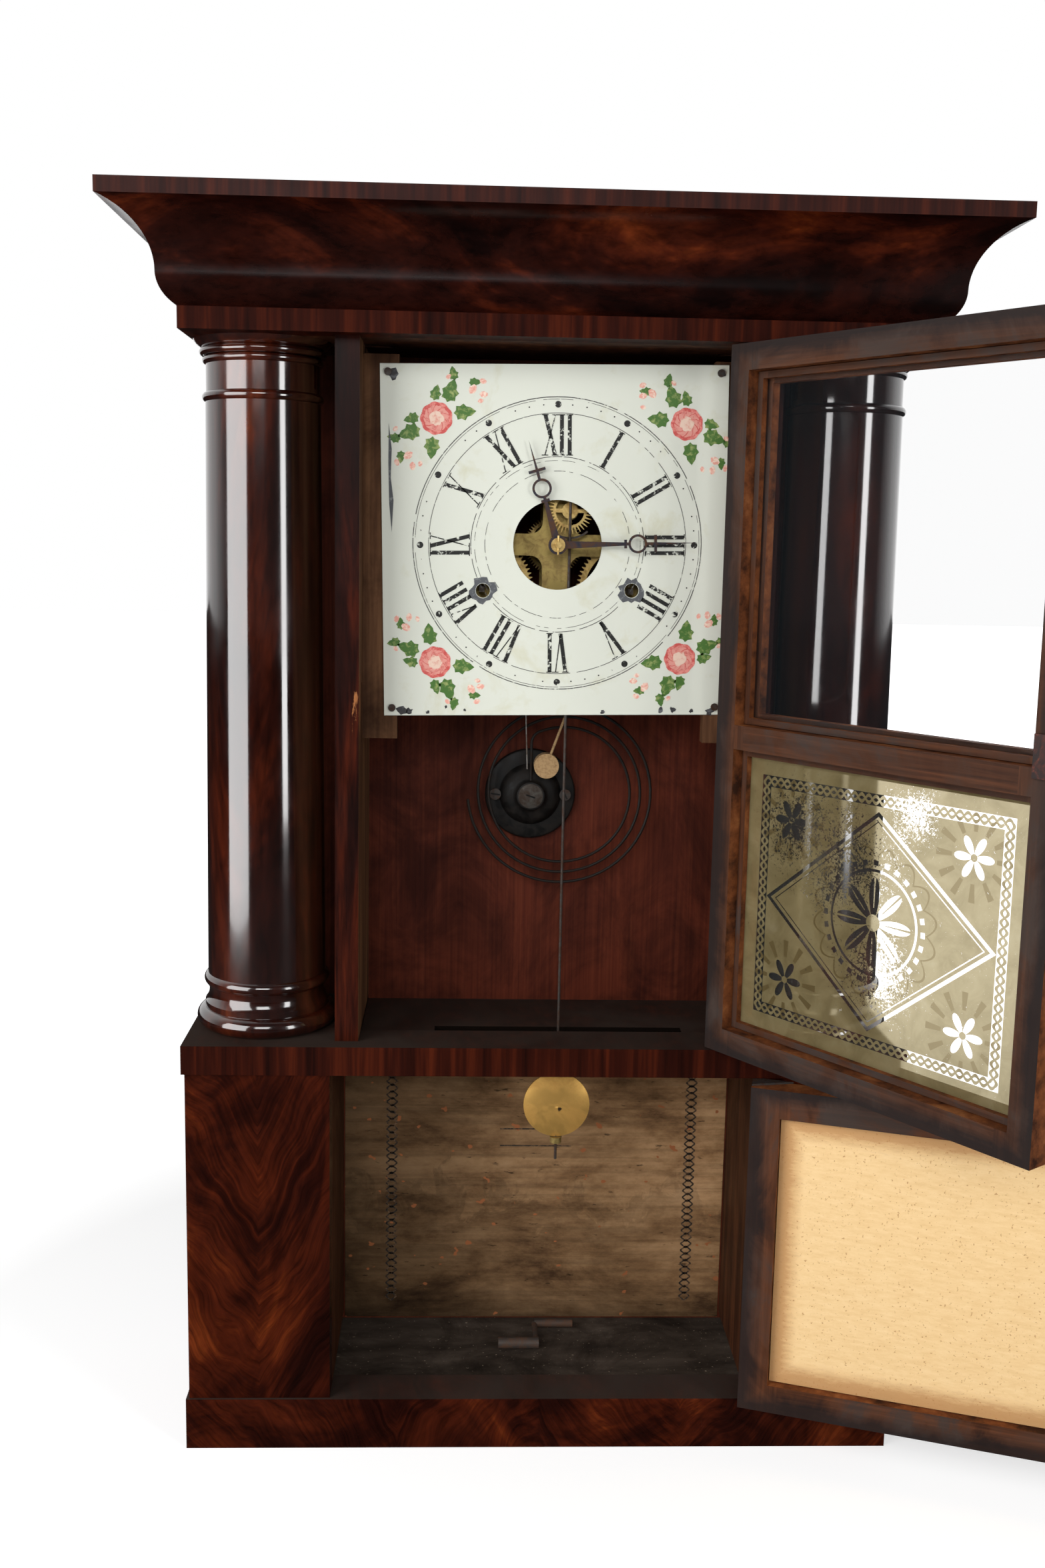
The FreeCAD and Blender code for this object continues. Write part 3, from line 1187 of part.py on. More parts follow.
# Fly: two wings on an arbor
fly_face = plate_inner + (plate_spacing - dim.fly_length) / 2
fly_arbor = rod_along_y(0, 0, (plate_face, back_end), dim.arbor_radius)
wings = box(
    (-dim.fly_wing, dim.fly_wing), (fly_face, fly_face + dim.fly_length),
    (-dim.fly_thickness / 2, dim.fly_thickness / 2))
keep(about(fuse([fly_arbor, wings]), hand_x - dim.fly_x, hand_z + dim.fly_rise), "fly")

# Pendulum: rod with a loop on the suspension pin, bob and rating nut
loop_width = dim.pendulum_gap * 0.6
loop_span = (pendulum_y - loop_width / 2, pendulum_y + loop_width / 2)
loop = rod_along_y(dim.pendulum_x, pivot_z, loop_span, 2.5 * dim.pendulum_pin_radius)
rod_foot = bob_z - dim.rod_tail
rod_head = pivot_z - 2 * dim.pendulum_pin_radius
rod = rod_along_z(dim.pendulum_x, pendulum_y, (rod_foot, rod_head), dim.rod_radius)
loop = cut(loop, rod_along_y(
    dim.pendulum_x, pivot_z, loop_span, dim.pendulum_pin_radius + dim.running_clearance))
keep(fuse([loop, rod]), "pendulum_rod")
rod_bore = dim.rod_radius + dim.running_clearance
bob = turned("Bob", [
    (0.0, -dim.bob_thickness / 2, swell(dim.bob_thickness / 2 - dim.bob_rim / 2, 2 * dim.bob_radius), 1),
    (dim.bob_radius, -dim.bob_rim / 2),
    (dim.bob_radius, dim.bob_rim / 2, swell(dim.bob_thickness / 2 - dim.bob_rim / 2, 2 * dim.bob_radius), 1),
    (0.0, dim.bob_thickness / 2)])
place(bob, dim.pendulum_x, pendulum_y, bob_z, (1, 0, 0), -90)
bob_span = (bob_z - dim.bob_radius, bob_z + dim.bob_radius)
keep(cut(bob, rod_along_z(dim.pendulum_x, pendulum_y, bob_span, rod_bore)), "pendulum_bob")
nut_top = bob_z - dim.bob_radius - dim.cord_clearance
nut_span = (nut_top - dim.nut_height, nut_top)
nut = rod_along_z(dim.pendulum_x, pendulum_y, nut_span, dim.nut_radius)
keep(cut(nut, rod_along_z(dim.pendulum_x, pendulum_y, nut_span, rod_bore)), "rating_nut")

# Gong base: a domed iron foot on the back board, with the block that holds the wire
gong_foot = turned("GongFoot", [
    (0.0, 0.0), (dim.gong_radius, 0.0), (dim.gong_radius, dim.gong_rim), (dim.gong_flat, dim.gong_rim),
    (dim.gong_dome_radius, dim.gong_dome), (0.0, dim.gong_dome)])
place(gong_foot, dim.gong_x, back, gong_z, (1, 0, 0), 90)
gong_block = box(
    (dim.gong_x - dim.gong_block / 2, dim.gong_x + dim.gong_block / 2),
    (back - dim.gong_block_front, back - dim.gong_rim),
    (gong_z - dim.gong_block / 2, gong_z + dim.gong_block / 2))
screw_holes = [
    rod_along_y(
        dim.gong_x + dim.gong_screw_x * side, gong_z, (back - dim.gong_rim, back),
        dim.gong_screw_radius / 2) for side in (-1, 1)]
keep(cut_all(fuse([gong_foot, gong_block]), screw_holes), "gong_base")
gong_screws = []
for side in (-1, 1):
    screw = turned("GongScrew", [
        (0.0, 0.0), (dim.gong_screw_radius / 2, 0.0), (dim.gong_screw_radius / 2, dim.gong_rim),
        (dim.gong_screw_radius, dim.gong_rim), (dim.gong_screw_radius, dim.gong_rim + dim.gong_screw_head),
        (0.0, dim.gong_rim + dim.gong_screw_head)])
    place(screw, dim.gong_x + dim.gong_screw_x * side, back, gong_z, (1, 0, 0), 90)
    gong_screws.append(screw)
keep(group(gong_screws), "gong_screws")

# Gong coil: a stem out of the block, a bend, then quarter turns of growing radius
coil_y = (back - dim.coil_front).value
bend = dim.coil_bend_radius.value
start_cosine = ((dim.gong_x - dim.coil_x).value + bend) / (dim.coil_inner_radius.value - bend)
start_angle = math.acos(start_cosine)


def front_point(x, z):
    return Vector(x, coil_y, z)


def arc_between(centre, radius, first, last):
    """An arc in the coil's plane, with angles from the right."""
    ends = [
        front_point(centre[0] + radius * math.cos(angle), centre[1] + radius * math.sin(angle))
        for angle in (first, (first + last) / 2, last)]
    return Part.Arc(*ends).toShape()


coil_centre = (dim.coil_x.value, (gong_z + dim.coil_height).value)
coil_radius = dim.coil_inner_radius.value
inner_end = (
    coil_centre[0] + coil_radius * math.cos(start_angle),
    coil_centre[1] + coil_radius * math.sin(start_angle))
bend_centre = (
    inner_end[0] - bend * math.cos(start_angle), inner_end[1] - bend * math.sin(start_angle))
stem_foot = front_point(dim.gong_x.value, (gong_z + dim.gong_block / 2).value)
stem_head = front_point(bend_centre[0] - bend, bend_centre[1])
coil_edges = [
    Part.LineSegment(stem_foot, stem_head).toShape(), arc_between(bend_centre, bend, math.pi, start_angle)]
left_to_turn = math.radians(dim.coil_turn_angle.value)
angle = start_angle
growth = dim.coil_pitch.value / 4
while left_to_turn > 0:
    turn = min(left_to_turn, math.pi / 2)
    coil_edges.append(arc_between(coil_centre, coil_radius, angle, angle - turn))
    angle -= turn
    left_to_turn -= turn
    coil_centre = (
        coil_centre[0] - growth * math.cos(angle), coil_centre[1] - growth * math.sin(angle))
    coil_radius += growth
coil_path = Part.Wire(coil_edges)
wire_section = Part.Wire(Part.makeCircle(dim.coil_wire_radius.value, stem_foot, Vector(0, 0, 1)))
coil = doc.addObject("Part::Feature", "GongCoil")
coil.Shape = coil_path.makePipeShell([wire_section], True, False)
keep(coil, "gong_coil")
coil_points = coil_path.discretize(Distance=2.0)
apart = int(math.pi * dim.coil_inner_radius.value / 2)
least_gap = min(
    first.distanceToPoint(second)
    for index, first in enumerate(coil_points) for second in coil_points[index + apart:])
print(f"gong coil: least gap between turns {least_gap - 2 * dim.coil_wire_radius.value:.2f} mm")

# Hammer on a stud behind the back plate
hammer_hub_span = (hammer_hub_face, hammer_hub_face + dim.hammer_hub_length)
hammer_hub = rod_along_y(dim.hammer_pivot_x, hammer_pivot_z, hammer_hub_span, dim.hammer_hub_radius)
hammer_drop = hammer_pivot_z - hammer_z
hammer_lean = dim.hammer_pivot_x - dim.hammer_x
hammer_wire = cylinder(dim.hammer_wire_radius, math.hypot(hammer_drop.value, hammer_lean.value))
hammer_y = hammer_hub_face + dim.hammer_hub_length / 4
place(hammer_wire, dim.hammer_x, hammer_y, hammer_z, (0, 1, 0), math.degrees(
    math.atan2(hammer_lean.value, hammer_drop.value)))
hammer_head = rod_along_y(
    dim.hammer_x, hammer_z, (hammer_hub_face, hammer_hub_face + dim.hammer_length),
    dim.hammer_radius)
keep(cut(fuse([hammer_hub, hammer_wire, hammer_head]), rod_along_y(
    dim.hammer_pivot_x, hammer_pivot_z, hammer_hub_span, arbor_hole)), "hammer")

# Weights, each with an eye and its cord up to the pulley
eye_z = weight_z + dim.weight_eye_radius
drop_foot = eye_z + dim.weight_eye_radius + dim.weight_eye_wire
chamfer = dim.weight_eye_wire
for name, side in SIDES:
    weight = turned("Weight", [
        (0.0, -dim.weight_length), (dim.weight_radius - chamfer, -dim.weight_length),
        (dim.weight_radius, chamfer - dim.weight_length), (dim.weight_radius, -chamfer),
        (dim.weight_radius - chamfer, 0.0), (0.0, 0.0)])
    place(weight, column_x * side, column_y, weight_z)
    eye = doc.addObject("Part::Torus", "Eye")
    bind(eye, "Radius1", dim.weight_eye_radius)
    bind(eye, "Radius2", dim.weight_eye_wire)
    place(eye, column_x * side, column_y, eye_z, (1, 0, 0), 90)
    keep(fuse([weight, eye]), f"weight_{name}")
    keep(rod_along_z(column_x * side, column_y, (drop_foot, pulley_z), dim.cord_radius), f"cord_drop_{name}")

# Pulleys over the columns, each on an axle between two cheeks
rim = dim.pulley_width / 2
groove_half = dim.cord_radius + dim.cord_clearance
cheek_face = rim + dim.bracket_gap
cheek_back = cheek_face + dim.bracket_thickness
brackets = []
for name, side in SIDES:
    pulley = turned("Pulley", [
        (dim.pulley_axle_radius + dim.running_clearance, -rim), (dim.pulley_radius, -rim),
        (dim.pulley_groove_radius, -groove_half), (dim.pulley_groove_radius, groove_half),
        (dim.pulley_radius, rim), (dim.pulley_axle_radius + dim.running_clearance, rim)])
    place(pulley, 0, 0, 0, (1, 0, 0), 90)
    pulley = group([pulley])
    place_in_cord_plane(pulley, side, pulley_pitch, pulley_z)
    keep(pulley, f"pulley_{name}")
    cheeks = [
        box((-dim.bracket_width / 2, dim.bracket_width / 2), edges,
            (-dim.pulley_height, dim.bracket_width / 2))
        for edges in ((-cheek_back, -cheek_face), (cheek_face, cheek_back))]
    axle = rod_along_y(0, 0, (-cheek_back, cheek_back), dim.pulley_axle_radius)
    bracket = fuse(cheeks + [axle])
    place_in_cord_plane(bracket, side, pulley_pitch, pulley_z)
    brackets.append(bracket)
keep(group(brackets), "pulley_brackets")

# Cord runs: over each pulley and down to the drum, in one upright plane
cord_runs = []
for name, side in SIDES:
    turn = math.radians(cord_turn(side))
    drum_along = math.hypot(
        (drum_x(side) - column_x * side).value, (dim.cord_drum_y - column_y).value)
    span = (drum_along - pulley_pitch.value, (drum_z - pulley_z).value)
    lean = math.atan2(span[1], span[0])
    tangent = lean + math.acos((pulley_pitch - drum_pitch).value / math.hypot(*span))

    def cord_point(along, up):
        return Vector(
            (column_x * side).value + along * math.cos(turn), column_y.value + along * math.sin(turn), up)

    def round_pulley(around):
        return cord_point(
            pulley_pitch.value * (1 + math.cos(around)),
            pulley_z.value + pulley_pitch.value * math.sin(around))

    drum_end = cord_point(
        drum_along + drum_pitch.value * math.cos(tangent),
        drum_z.value + drum_pitch.value * math.sin(tangent))
    over = Part.Arc(round_pulley(math.pi), round_pulley((math.pi + tangent) / 2), round_pulley(tangent))
    path = Part.Wire([over.toShape(), Part.LineSegment(round_pulley(tangent), drum_end).toShape()])
    section = Part.Wire(Part.makeCircle(dim.cord_radius.value, round_pulley(math.pi), Vector(0, 0, 1)))
    cord_run = doc.addObject("Part::Feature", "CordRun")
    cord_run.Shape = path.makePipeShell([section], True, False)
    cord_runs.append(cord_run)
keep(group(cord_runs), "cord_runs")

# Winding key lying on the lower floor
key_z = floor_top + dim.key_grip_radius
key_front = dim.key_y - dim.key_arm_length
key_socket = cylinder(dim.key_radius, dim.key_socket_length)
place(key_socket, dim.key_x, dim.key_y, key_z, (0, 1, 0), 90)
key_square = box(
    (dim.key_x + dim.key_socket_length - dim.key_socket_depth, dim.key_x + dim.key_socket_length),
    (dim.key_y - dim.winding_square / 2, dim.key_y + dim.winding_square / 2),
    (key_z - dim.winding_square / 2, key_z + dim.winding_square / 2))
key_arm = rod_along_y(dim.key_x, key_z, (key_front, dim.key_y), dim.key_arm_radius)
key_grip = cylinder(dim.key_grip_radius, dim.key_grip_length)
place(key_grip, dim.key_x + dim.key_arm_radius - dim.key_grip_length, key_front, key_z, (0, 1, 0), 90)
keep(cut(fuse([key_socket, key_arm, key_grip]), key_square), "crank_key")

doc.recompute()
for item in doc.Objects:
    if "Invalid" in item.State or "Error" in item.State:
        raise RuntimeError(f"{item.Label} does not compute")
os.makedirs("parts", exist_ok=True)
for piece in parts:
    if piece.Shape.isNull() or not piece.Shape.isValid():
        raise RuntimeError(f"{piece.Label} is not a valid shape")
    piece.Shape.exportStep(f"parts/{piece.Label}.step")
print(f"{len(parts)} pieces written")
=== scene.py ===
"""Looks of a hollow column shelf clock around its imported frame. Metres, +Z up, the front faces -Y."""
import bmesh
import bpy
import math
import random
from mathutils import Matrix, Vector


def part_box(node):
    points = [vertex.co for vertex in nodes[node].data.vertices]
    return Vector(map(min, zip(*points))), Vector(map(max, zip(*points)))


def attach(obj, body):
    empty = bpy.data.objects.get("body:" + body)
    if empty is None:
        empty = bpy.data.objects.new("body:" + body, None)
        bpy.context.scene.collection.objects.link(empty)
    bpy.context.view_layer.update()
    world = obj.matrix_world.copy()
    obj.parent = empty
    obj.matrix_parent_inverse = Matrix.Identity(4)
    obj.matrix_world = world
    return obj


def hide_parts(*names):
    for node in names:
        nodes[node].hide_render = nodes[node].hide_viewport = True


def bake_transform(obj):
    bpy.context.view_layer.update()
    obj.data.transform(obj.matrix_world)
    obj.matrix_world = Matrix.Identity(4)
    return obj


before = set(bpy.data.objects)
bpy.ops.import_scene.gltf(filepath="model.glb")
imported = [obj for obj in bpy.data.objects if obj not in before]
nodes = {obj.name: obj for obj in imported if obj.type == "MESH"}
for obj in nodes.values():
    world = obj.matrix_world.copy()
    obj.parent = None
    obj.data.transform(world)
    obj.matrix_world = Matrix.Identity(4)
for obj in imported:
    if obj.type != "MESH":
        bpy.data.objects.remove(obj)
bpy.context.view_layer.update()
random.seed(7)

MM = 0.001

# Camera of the photograph: place, turn and lens on a sensor as tall as the picture
CAMERA_PLACE = Vector((-0.05554, -1.00208, 0.59834))
CAMERA_TURN = Vector((0.1553, 0.0164, 0.0371))
CAMERA_LENS = 34.82
SENSOR = 36.0
FARTHEST = 60


def add_camera():
    turn = Matrix.Rotation(CAMERA_TURN.length, 3, CAMERA_TURN)
    right, forward, up = turn[0], turn[1], turn[2]
    data = bpy.data.cameras.new("camera")
    data.sensor_fit = "VERTICAL"
    data.sensor_height = SENSOR
    data.lens = CAMERA_LENS
    data.clip_end = FARTHEST
    camera = bpy.data.objects.new("camera", data)
    camera.matrix_world = Matrix((
        (right.x, up.x, -forward.x, CAMERA_PLACE.x),
        (right.y, up.y, -forward.y, CAMERA_PLACE.y),
        (right.z, up.z, -forward.z, CAMERA_PLACE.z),
        (0, 0, 0, 1)))
    bpy.context.scene.collection.objects.link(camera)
    bpy.context.scene.camera = camera


class Graph:
    """Short calls for the nodes of a material or a world."""

    def __init__(self, owner):
        owner.use_nodes = True
        self.tree = owner.node_tree

    def node(self, kind, **settings):
        node = self.tree.nodes.new(kind)
        for key, value in settings.items():
            setattr(node, key, value)
        return node

    def put(self, socket, value):
        if isinstance(value, bpy.types.NodeSocket):
            self.tree.links.new(value, socket)
        elif isinstance(value, tuple) and len(value) == 3 and socket.type == "RGBA":
            socket.default_value = (*value, 1)
        else:
            socket.default_value = value

    def mix(self, amount, first, second, kind="MIX"):
        node = self.node("ShaderNodeMix", data_type="RGBA", blend_type=kind)
        self.put(node.inputs["Factor"], amount)
        self.put(node.inputs[6], first)
        self.put(node.inputs[7], second)
        return node.outputs[2]

    def math(self, kind, first, second):
        node = self.node("ShaderNodeMath", operation=kind)
        self.put(node.inputs[0], first)
        self.put(node.inputs[1], second)
        return node.outputs[0]

    def part(self, vector, axis):
        node = self.node("ShaderNodeSeparateXYZ")
        self.put(node.inputs[0], vector)
        return node.outputs[axis]

    def fade(self, amount, limits, least=0.0):
        node = self.node("ShaderNodeMapRange")
        self.put(node.inputs["Value"], amount)
        node.inputs["From Min"].default_value, node.inputs["From Max"].default_value = limits
        node.inputs["To Min"].default_value = least
        return node.outputs[0]


class Shader(Graph):
    """A material with one Principled shader, and the patterns that feed it."""

    def __init__(self, name):
        self.material = bpy.data.materials.new(name)
        super().__init__(self.material)
        self.shader = self.tree.nodes["Principled BSDF"]
        self.place = self.node("ShaderNodeTexCoord").outputs["Object"]
        self.facing = self.node("ShaderNodeTexCoord").outputs["Normal"]

    def set(self, **values):
        for key, value in values.items():
            self.put(self.shader.inputs[key.replace("_", " ").title().replace("Ior", "IOR")], value)
        return self.material

    def mapped(self, scale, turn=(0, 0, 0), move=(0, 0, 0)):
        node = self.node("ShaderNodeMapping")
        self.put(node.inputs["Vector"], self.place)
        node.inputs["Location"].default_value = move
        node.inputs["Rotation"].default_value = turn
        node.inputs["Scale"].default_value = scale
        return node.outputs["Vector"]

    def noise(self, where, detail, rough=0.55, warp=0.0, scale=1.0):
        node = self.node("ShaderNodeTexNoise")
        self.put(node.inputs["Vector"], where)
        node.inputs["Scale"].default_value = scale
        node.inputs["Detail"].default_value = detail
        node.inputs["Roughness"].default_value = rough
        node.inputs["Distortion"].default_value = warp
        return node.outputs["Fac"]

    def ramp(self, amount, stops):
        node = self.node("ShaderNodeValToRGB")
        self.put(node.inputs["Fac"], amount)
        band = node.color_ramp
        while len(band.elements) < len(stops):
            band.elements.new(0.5)
        for element, (at, colour) in zip(band.elements, stops):
            element.position = at
            element.color = (*colour, 1) if isinstance(colour, tuple) else (colour, colour, colour, 1)
        return node.outputs["Color"]

    def measure(self, kind, vector, other=(0, 0, 0)):
        node = self.node("ShaderNodeVectorMath", operation=kind)
        self.put(node.inputs[0], vector)
        node.inputs[1].default_value = other
        return Value(self, node.outputs["Value"])

    def bump(self, height, strength, distance):
        node = self.node("ShaderNodeBump")
        node.inputs["Strength"].default_value = strength
        node.inputs["Distance"].default_value = distance
        self.put(node.inputs["Height"], height)
        self.put(self.shader.inputs["Normal"], node.outputs["Normal"])

    def value(self, content):
        return Value(self, content)

    def axis(self, vector, name):
        return Value(self, self.part(vector, name))


class Value:
    """A number inside a material, so that a pattern can be written as a formula."""

    def __init__(self, shade, socket):
        self.shade = shade
        self.socket = socket

    def math(self, kind, other=0.0):
        second = other.socket if isinstance(other, Value) else other
        return Value(self.shade, self.shade.math(kind, self.socket, second))

    def __add__(self, other):
        return self.math("ADD", other)

    def __sub__(self, other):
        return self.math("SUBTRACT", other)

    def __mul__(self, other):
        return self.math("MULTIPLY", other)

    def __lt__(self, other):
        return self.math("LESS_THAN", other)

    def __gt__(self, other):
        return self.math("GREATER_THAN", other)

    def __abs__(self):
        return self.math("ABSOLUTE")

    def __or__(self, other):
        return self.math("MAXIMUM", other)

    def __and__(self, other):
        return self.math("MULTIPLY", other)


COAT_ROUGHNESS = 0.06
FLAME = [
    (0.30, (0.0045, 0.0012, 0.0009)), (0.44, (0.017, 0.0030, 0.0016)), (0.55, (0.052, 0.0080, 0.0026)),
    (0.66, (0.130, 0.0235, 0.0052)), (0.80, (0.290, 0.0620, 0.0125))]
CROSSBAND = [(0.30, (0.010, 0.0018, 0.0010)), (0.5, (0.026, 0.0040, 0.0016)), (0.72, (0.066, 0.0105, 0.0030))]


def veneer(
        name, stretch, figure=7.0, dark=0.0, band=None, plume=None, gloss=0.16, level=0.4, dust=0.0,
        bare=None, torn=None, coat=0.0, shaded_hollow=None):
    """Polished mahogany: upright grain above band, a feather about plume, a dusty top, bare torn sides.

    The walls of a hollow, given as its reach to both sides and its start from the front, are dark with
    painted shade.
    """
    shade = Shader(name)
    flame = shade.noise(shade.mapped(stretch), 5, 0.6, 1.4, figure)
    fine = shade.mapped(tuple(10 * s for s in stretch))
    if plume is not None:
        side = abs(abs(shade.axis(shade.place, "X")) - plume)
        wander = shade.value(shade.noise(shade.mapped((9, 9, 6)), 3))
        rise = shade.axis(shade.place, "Z") - side * 1.5 + wander * 0.16
        strand = shade.node("ShaderNodeCombineXYZ")
        shade.put(strand.inputs["X"], (side * 16).socket)
        shade.put(strand.inputs["Z"], (rise * 70).socket)
        fine = strand.outputs[0]
        feather = shade.noise(fine, 6, 0.65, 0.8)
        flame = shade.math("ADD", shade.math("MULTIPLY", flame, 0.72), shade.math("MULTIPLY", feather, 0.30))
    colour = shade.ramp(flame, [(min(at + dark, 1.0), tone) for at, tone in FLAME])
    fibre = shade.noise(fine, 6, 0.7, 0.4, figure if plume is None else 3.0)
    colour = shade.mix(0.7, colour, shade.ramp(fibre, [(0.36, 0.35), (0.5, 0.9), (0.66, 1.35)]), "MULTIPLY")
    if band is not None:
        stripes = shade.noise(shade.mapped((150, 60, 5)), 4, 0.6, 0.3)
        above = shade.math("GREATER_THAN", shade.part(shade.place, "Z"), band)
        colour = shade.mix(above, colour, shade.ramp(stripes, CROSSBAND))
    smear = shade.noise(shade.mapped((14, 14, 9)), 5, 0.65, 0.5)
    roughness = shade.ramp(smear, [(0.3, gloss), (0.75, gloss + 0.14)])
    if band is not None:
        roughness = shade.math("ADD", roughness, shade.math("MULTIPLY", above, 0.25))
    if dust:
        upward = shade.axis(shade.facing, "Z") > 0.7
        settled = (upward * shade.value(shade.ramp(smear, [(0.3, 0.5 * dust), (0.65, dust)]))).socket
        colour = shade.mix(settled, colour, (0.044, 0.031, 0.025))
        roughness = shade.mix(settled, roughness, (0.9, 0.9, 0.9))
    if bare:
        sideways = abs(shade.axis(shade.facing, "X")) > 0.7
        grain = shade.noise(shade.mapped((90, 90, 5)), 6)
        colour = shade.mix(sideways.socket, colour, shade.ramp(grain, bare))
        roughness = shade.mix(sideways.socket, roughness, (0.8, 0.8, 0.8))
    if torn:
        reach = (150, 150, 42)
        away = shade.measure("LENGTH", shade.mapped(reach, move=tuple(-s * c for s, c in zip(reach, torn))))
        splinter = shade.noise(shade.mapped((500, 500, 60)), 5, 0.7)
        ragged = away + shade.value(splinter) * 2.4
        fresh = shade.ramp(splinter, [(0.35, (0.30, 0.115, 0.040)), (0.6, (0.10, 0.036, 0.014))])
        colour = shade.mix((ragged < 2.0).socket, colour, fresh)
    if shaded_hollow:
        reach, start = shaded_hollow
        within = abs(shade.axis(shade.place, "X")) < reach
        behind = shade.axis(shade.place, "Y") > start
        upright = abs(shade.axis(shade.facing, "Z")) < 0.5
        # Painted shade: the hollow's upright walls are coloured near black.
        colour = shade.mix((within & behind & upright).socket, colour, (0.005, 0.003, 0.002))
    shade.bump(fibre, 0.04, 0.0004)
    return shade.set(
        base_color=colour, roughness=roughness, specular_ior_level=level, coat_weight=coat,
        coat_roughness=COAT_ROUGHNESS)


def plain_wood(name, stops, stretch, rough, grime=0.5, crumbs=0.0):
    """Plain or stained wood with long fibres, grime in patches and pale crumbs."""
    shade = Shader(name)
    fibre = shade.noise(shade.mapped(stretch), 7, 0.62, 0.35)
    patch = shade.noise(shade.mapped((16, 16, 11)), 6, 0.7, 0.8)
    grimy = shade.ramp(patch, [(0.36, (0.16, 0.12, 0.10)), (0.6, (1.0, 1.0, 1.0))])
    colour = shade.mix(grime, shade.ramp(fibre, stops), grimy, "MULTIPLY")
    if crumbs:
        speck = shade.noise(shade.mapped((520, 520, 520)), 2, 0.5)
        colour = shade.mix(shade.ramp(speck, [(0.70, 0.0), (0.74, crumbs)]), colour, (0.34, 0.27, 0.20))
    shade.bump(fibre, 0.25, 0.0004)
    return shade.set(
        base_color=colour,
        roughness=shade.ramp(patch, [(0.3, rough), (0.7, max(rough - 0.15, 0.1))]), specular_ior_level=0.12)


UPPER_DOOR_TURN = math.radians(125.5)
LOWER_DOOR_TURN = math.radians(161)
UPPER_DOOR_FRONT = (math.sin(UPPER_DOOR_TURN), -math.cos(UPPER_DOOR_TURN), 0)
LOWER_DOOR_FRONT = (math.sin(LOWER_DOOR_TURN), -math.cos(LOWER_DOOR_TURN), 0)
# Half width and height of each door, half width between its stiles, and width of its sooty rim
UPPER_DOOR_HALF = (121, 220.5)
UPPER_RAIL_REACH = 98
LOWER_DOOR_HALF = (138.5, 111)
LOWER_RAIL_REACH = 113
SOOTY_RIM = 13


def on_door(shade, node, turn):
    """Places on an open door from the middle of a node, in millimetres along the axes of the shut door."""
    low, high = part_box(node)
    middle = Matrix.Rotation(-turn, 3, "Z") @ ((low + high) / 2)
    return shade.mapped((1 / MM, 1 / MM, 1 / MM), (0, 0, -turn), tuple(-middle / MM))


def scaled(shade, where, scale):
    """Places stretched along each axis."""
    node = shade.node("ShaderNodeVectorMath", operation="MULTIPLY")
    shade.put(node.inputs[0], where)
    node.inputs[1].default_value = scale
    return node.outputs["Vector"]


def door_wood(name, node, turn, half, rail_reach, front, worn):
    """Door frame: grain up the stiles and along the rails, grey inner faces, dark rim, veneered front."""
    shade = Shader(name)
    where = on_door(shade, node, turn)
    side = abs(shade.axis(where, "X"))
    rise = abs(shade.axis(where, "Z"))
    rails = side < rail_reach
    standing = shade.noise(scaled(shade, where, (0.34, 0.34, 0.012)), 7, 0.62, 0.5)
    lying = shade.noise(scaled(shade, where, (0.012, 0.34, 0.34)), 7, 0.62, 0.5)
    fibre = shade.mix(rails.socket, standing, lying)
    patch = shade.noise(scaled(shade, where, (0.016, 0.016, 0.012)), 6, 0.7, 0.8)
    grey = shade.ramp(patch, [(0.42, (0.050, 0.039, 0.034)), (0.58, worn)])
    colour = shade.mix(shade.ramp(patch, [(0.36, 0.75), (0.62, 0.1)]), shade.ramp(fibre, BROWN), grey)
    rim = (side - half[0]).math("MAXIMUM", rise - half[1]) * (1 / SOOTY_RIM) + 1
    sooty = rim + (shade.value(patch) - 0.5) * 3
    colour = shade.mix(shade.ramp(sooty.socket, [(0.0, 0.0), (0.7, 0.85)]), colour, (0.014, 0.011, 0.011))
    facing = shade.measure("DOT_PRODUCT", shade.facing, front)
    flame = shade.noise(scaled(shade, where, (0.0022, 0.0022, 0.0008)), 5, 0.6, 1.4, 8.0)
    colour = shade.mix((facing > 0.6).socket, colour, shade.ramp(flame, FLAME))
    edge = shade.ramp(shade.noise(scaled(shade, where, (0.05, 0.05, 0.05)), 5, 0.7), [
        (0.35, (0.035, 0.012, 0.006)), (0.55, (0.19, 0.058, 0.018)), (0.72, (0.33, 0.125, 0.042))])
    colour = shade.mix((abs(facing) < 0.6).socket, colour, edge)
    shade.bump(fibre, 0.2, 0.0004)
    return shade.set(
        base_color=colour, roughness=shade.ramp(patch, [(0.35, 0.7), (0.65, 0.45)]), specular_ior_level=0.15)


TAN = [(0.28, (0.72, 0.47, 0.225)), (0.5, (0.80, 0.56, 0.285)), (0.72, (0.86, 0.63, 0.35))]
# Half width and height of the panel's clean middle
PANEL_CLEAN = (92, 65)


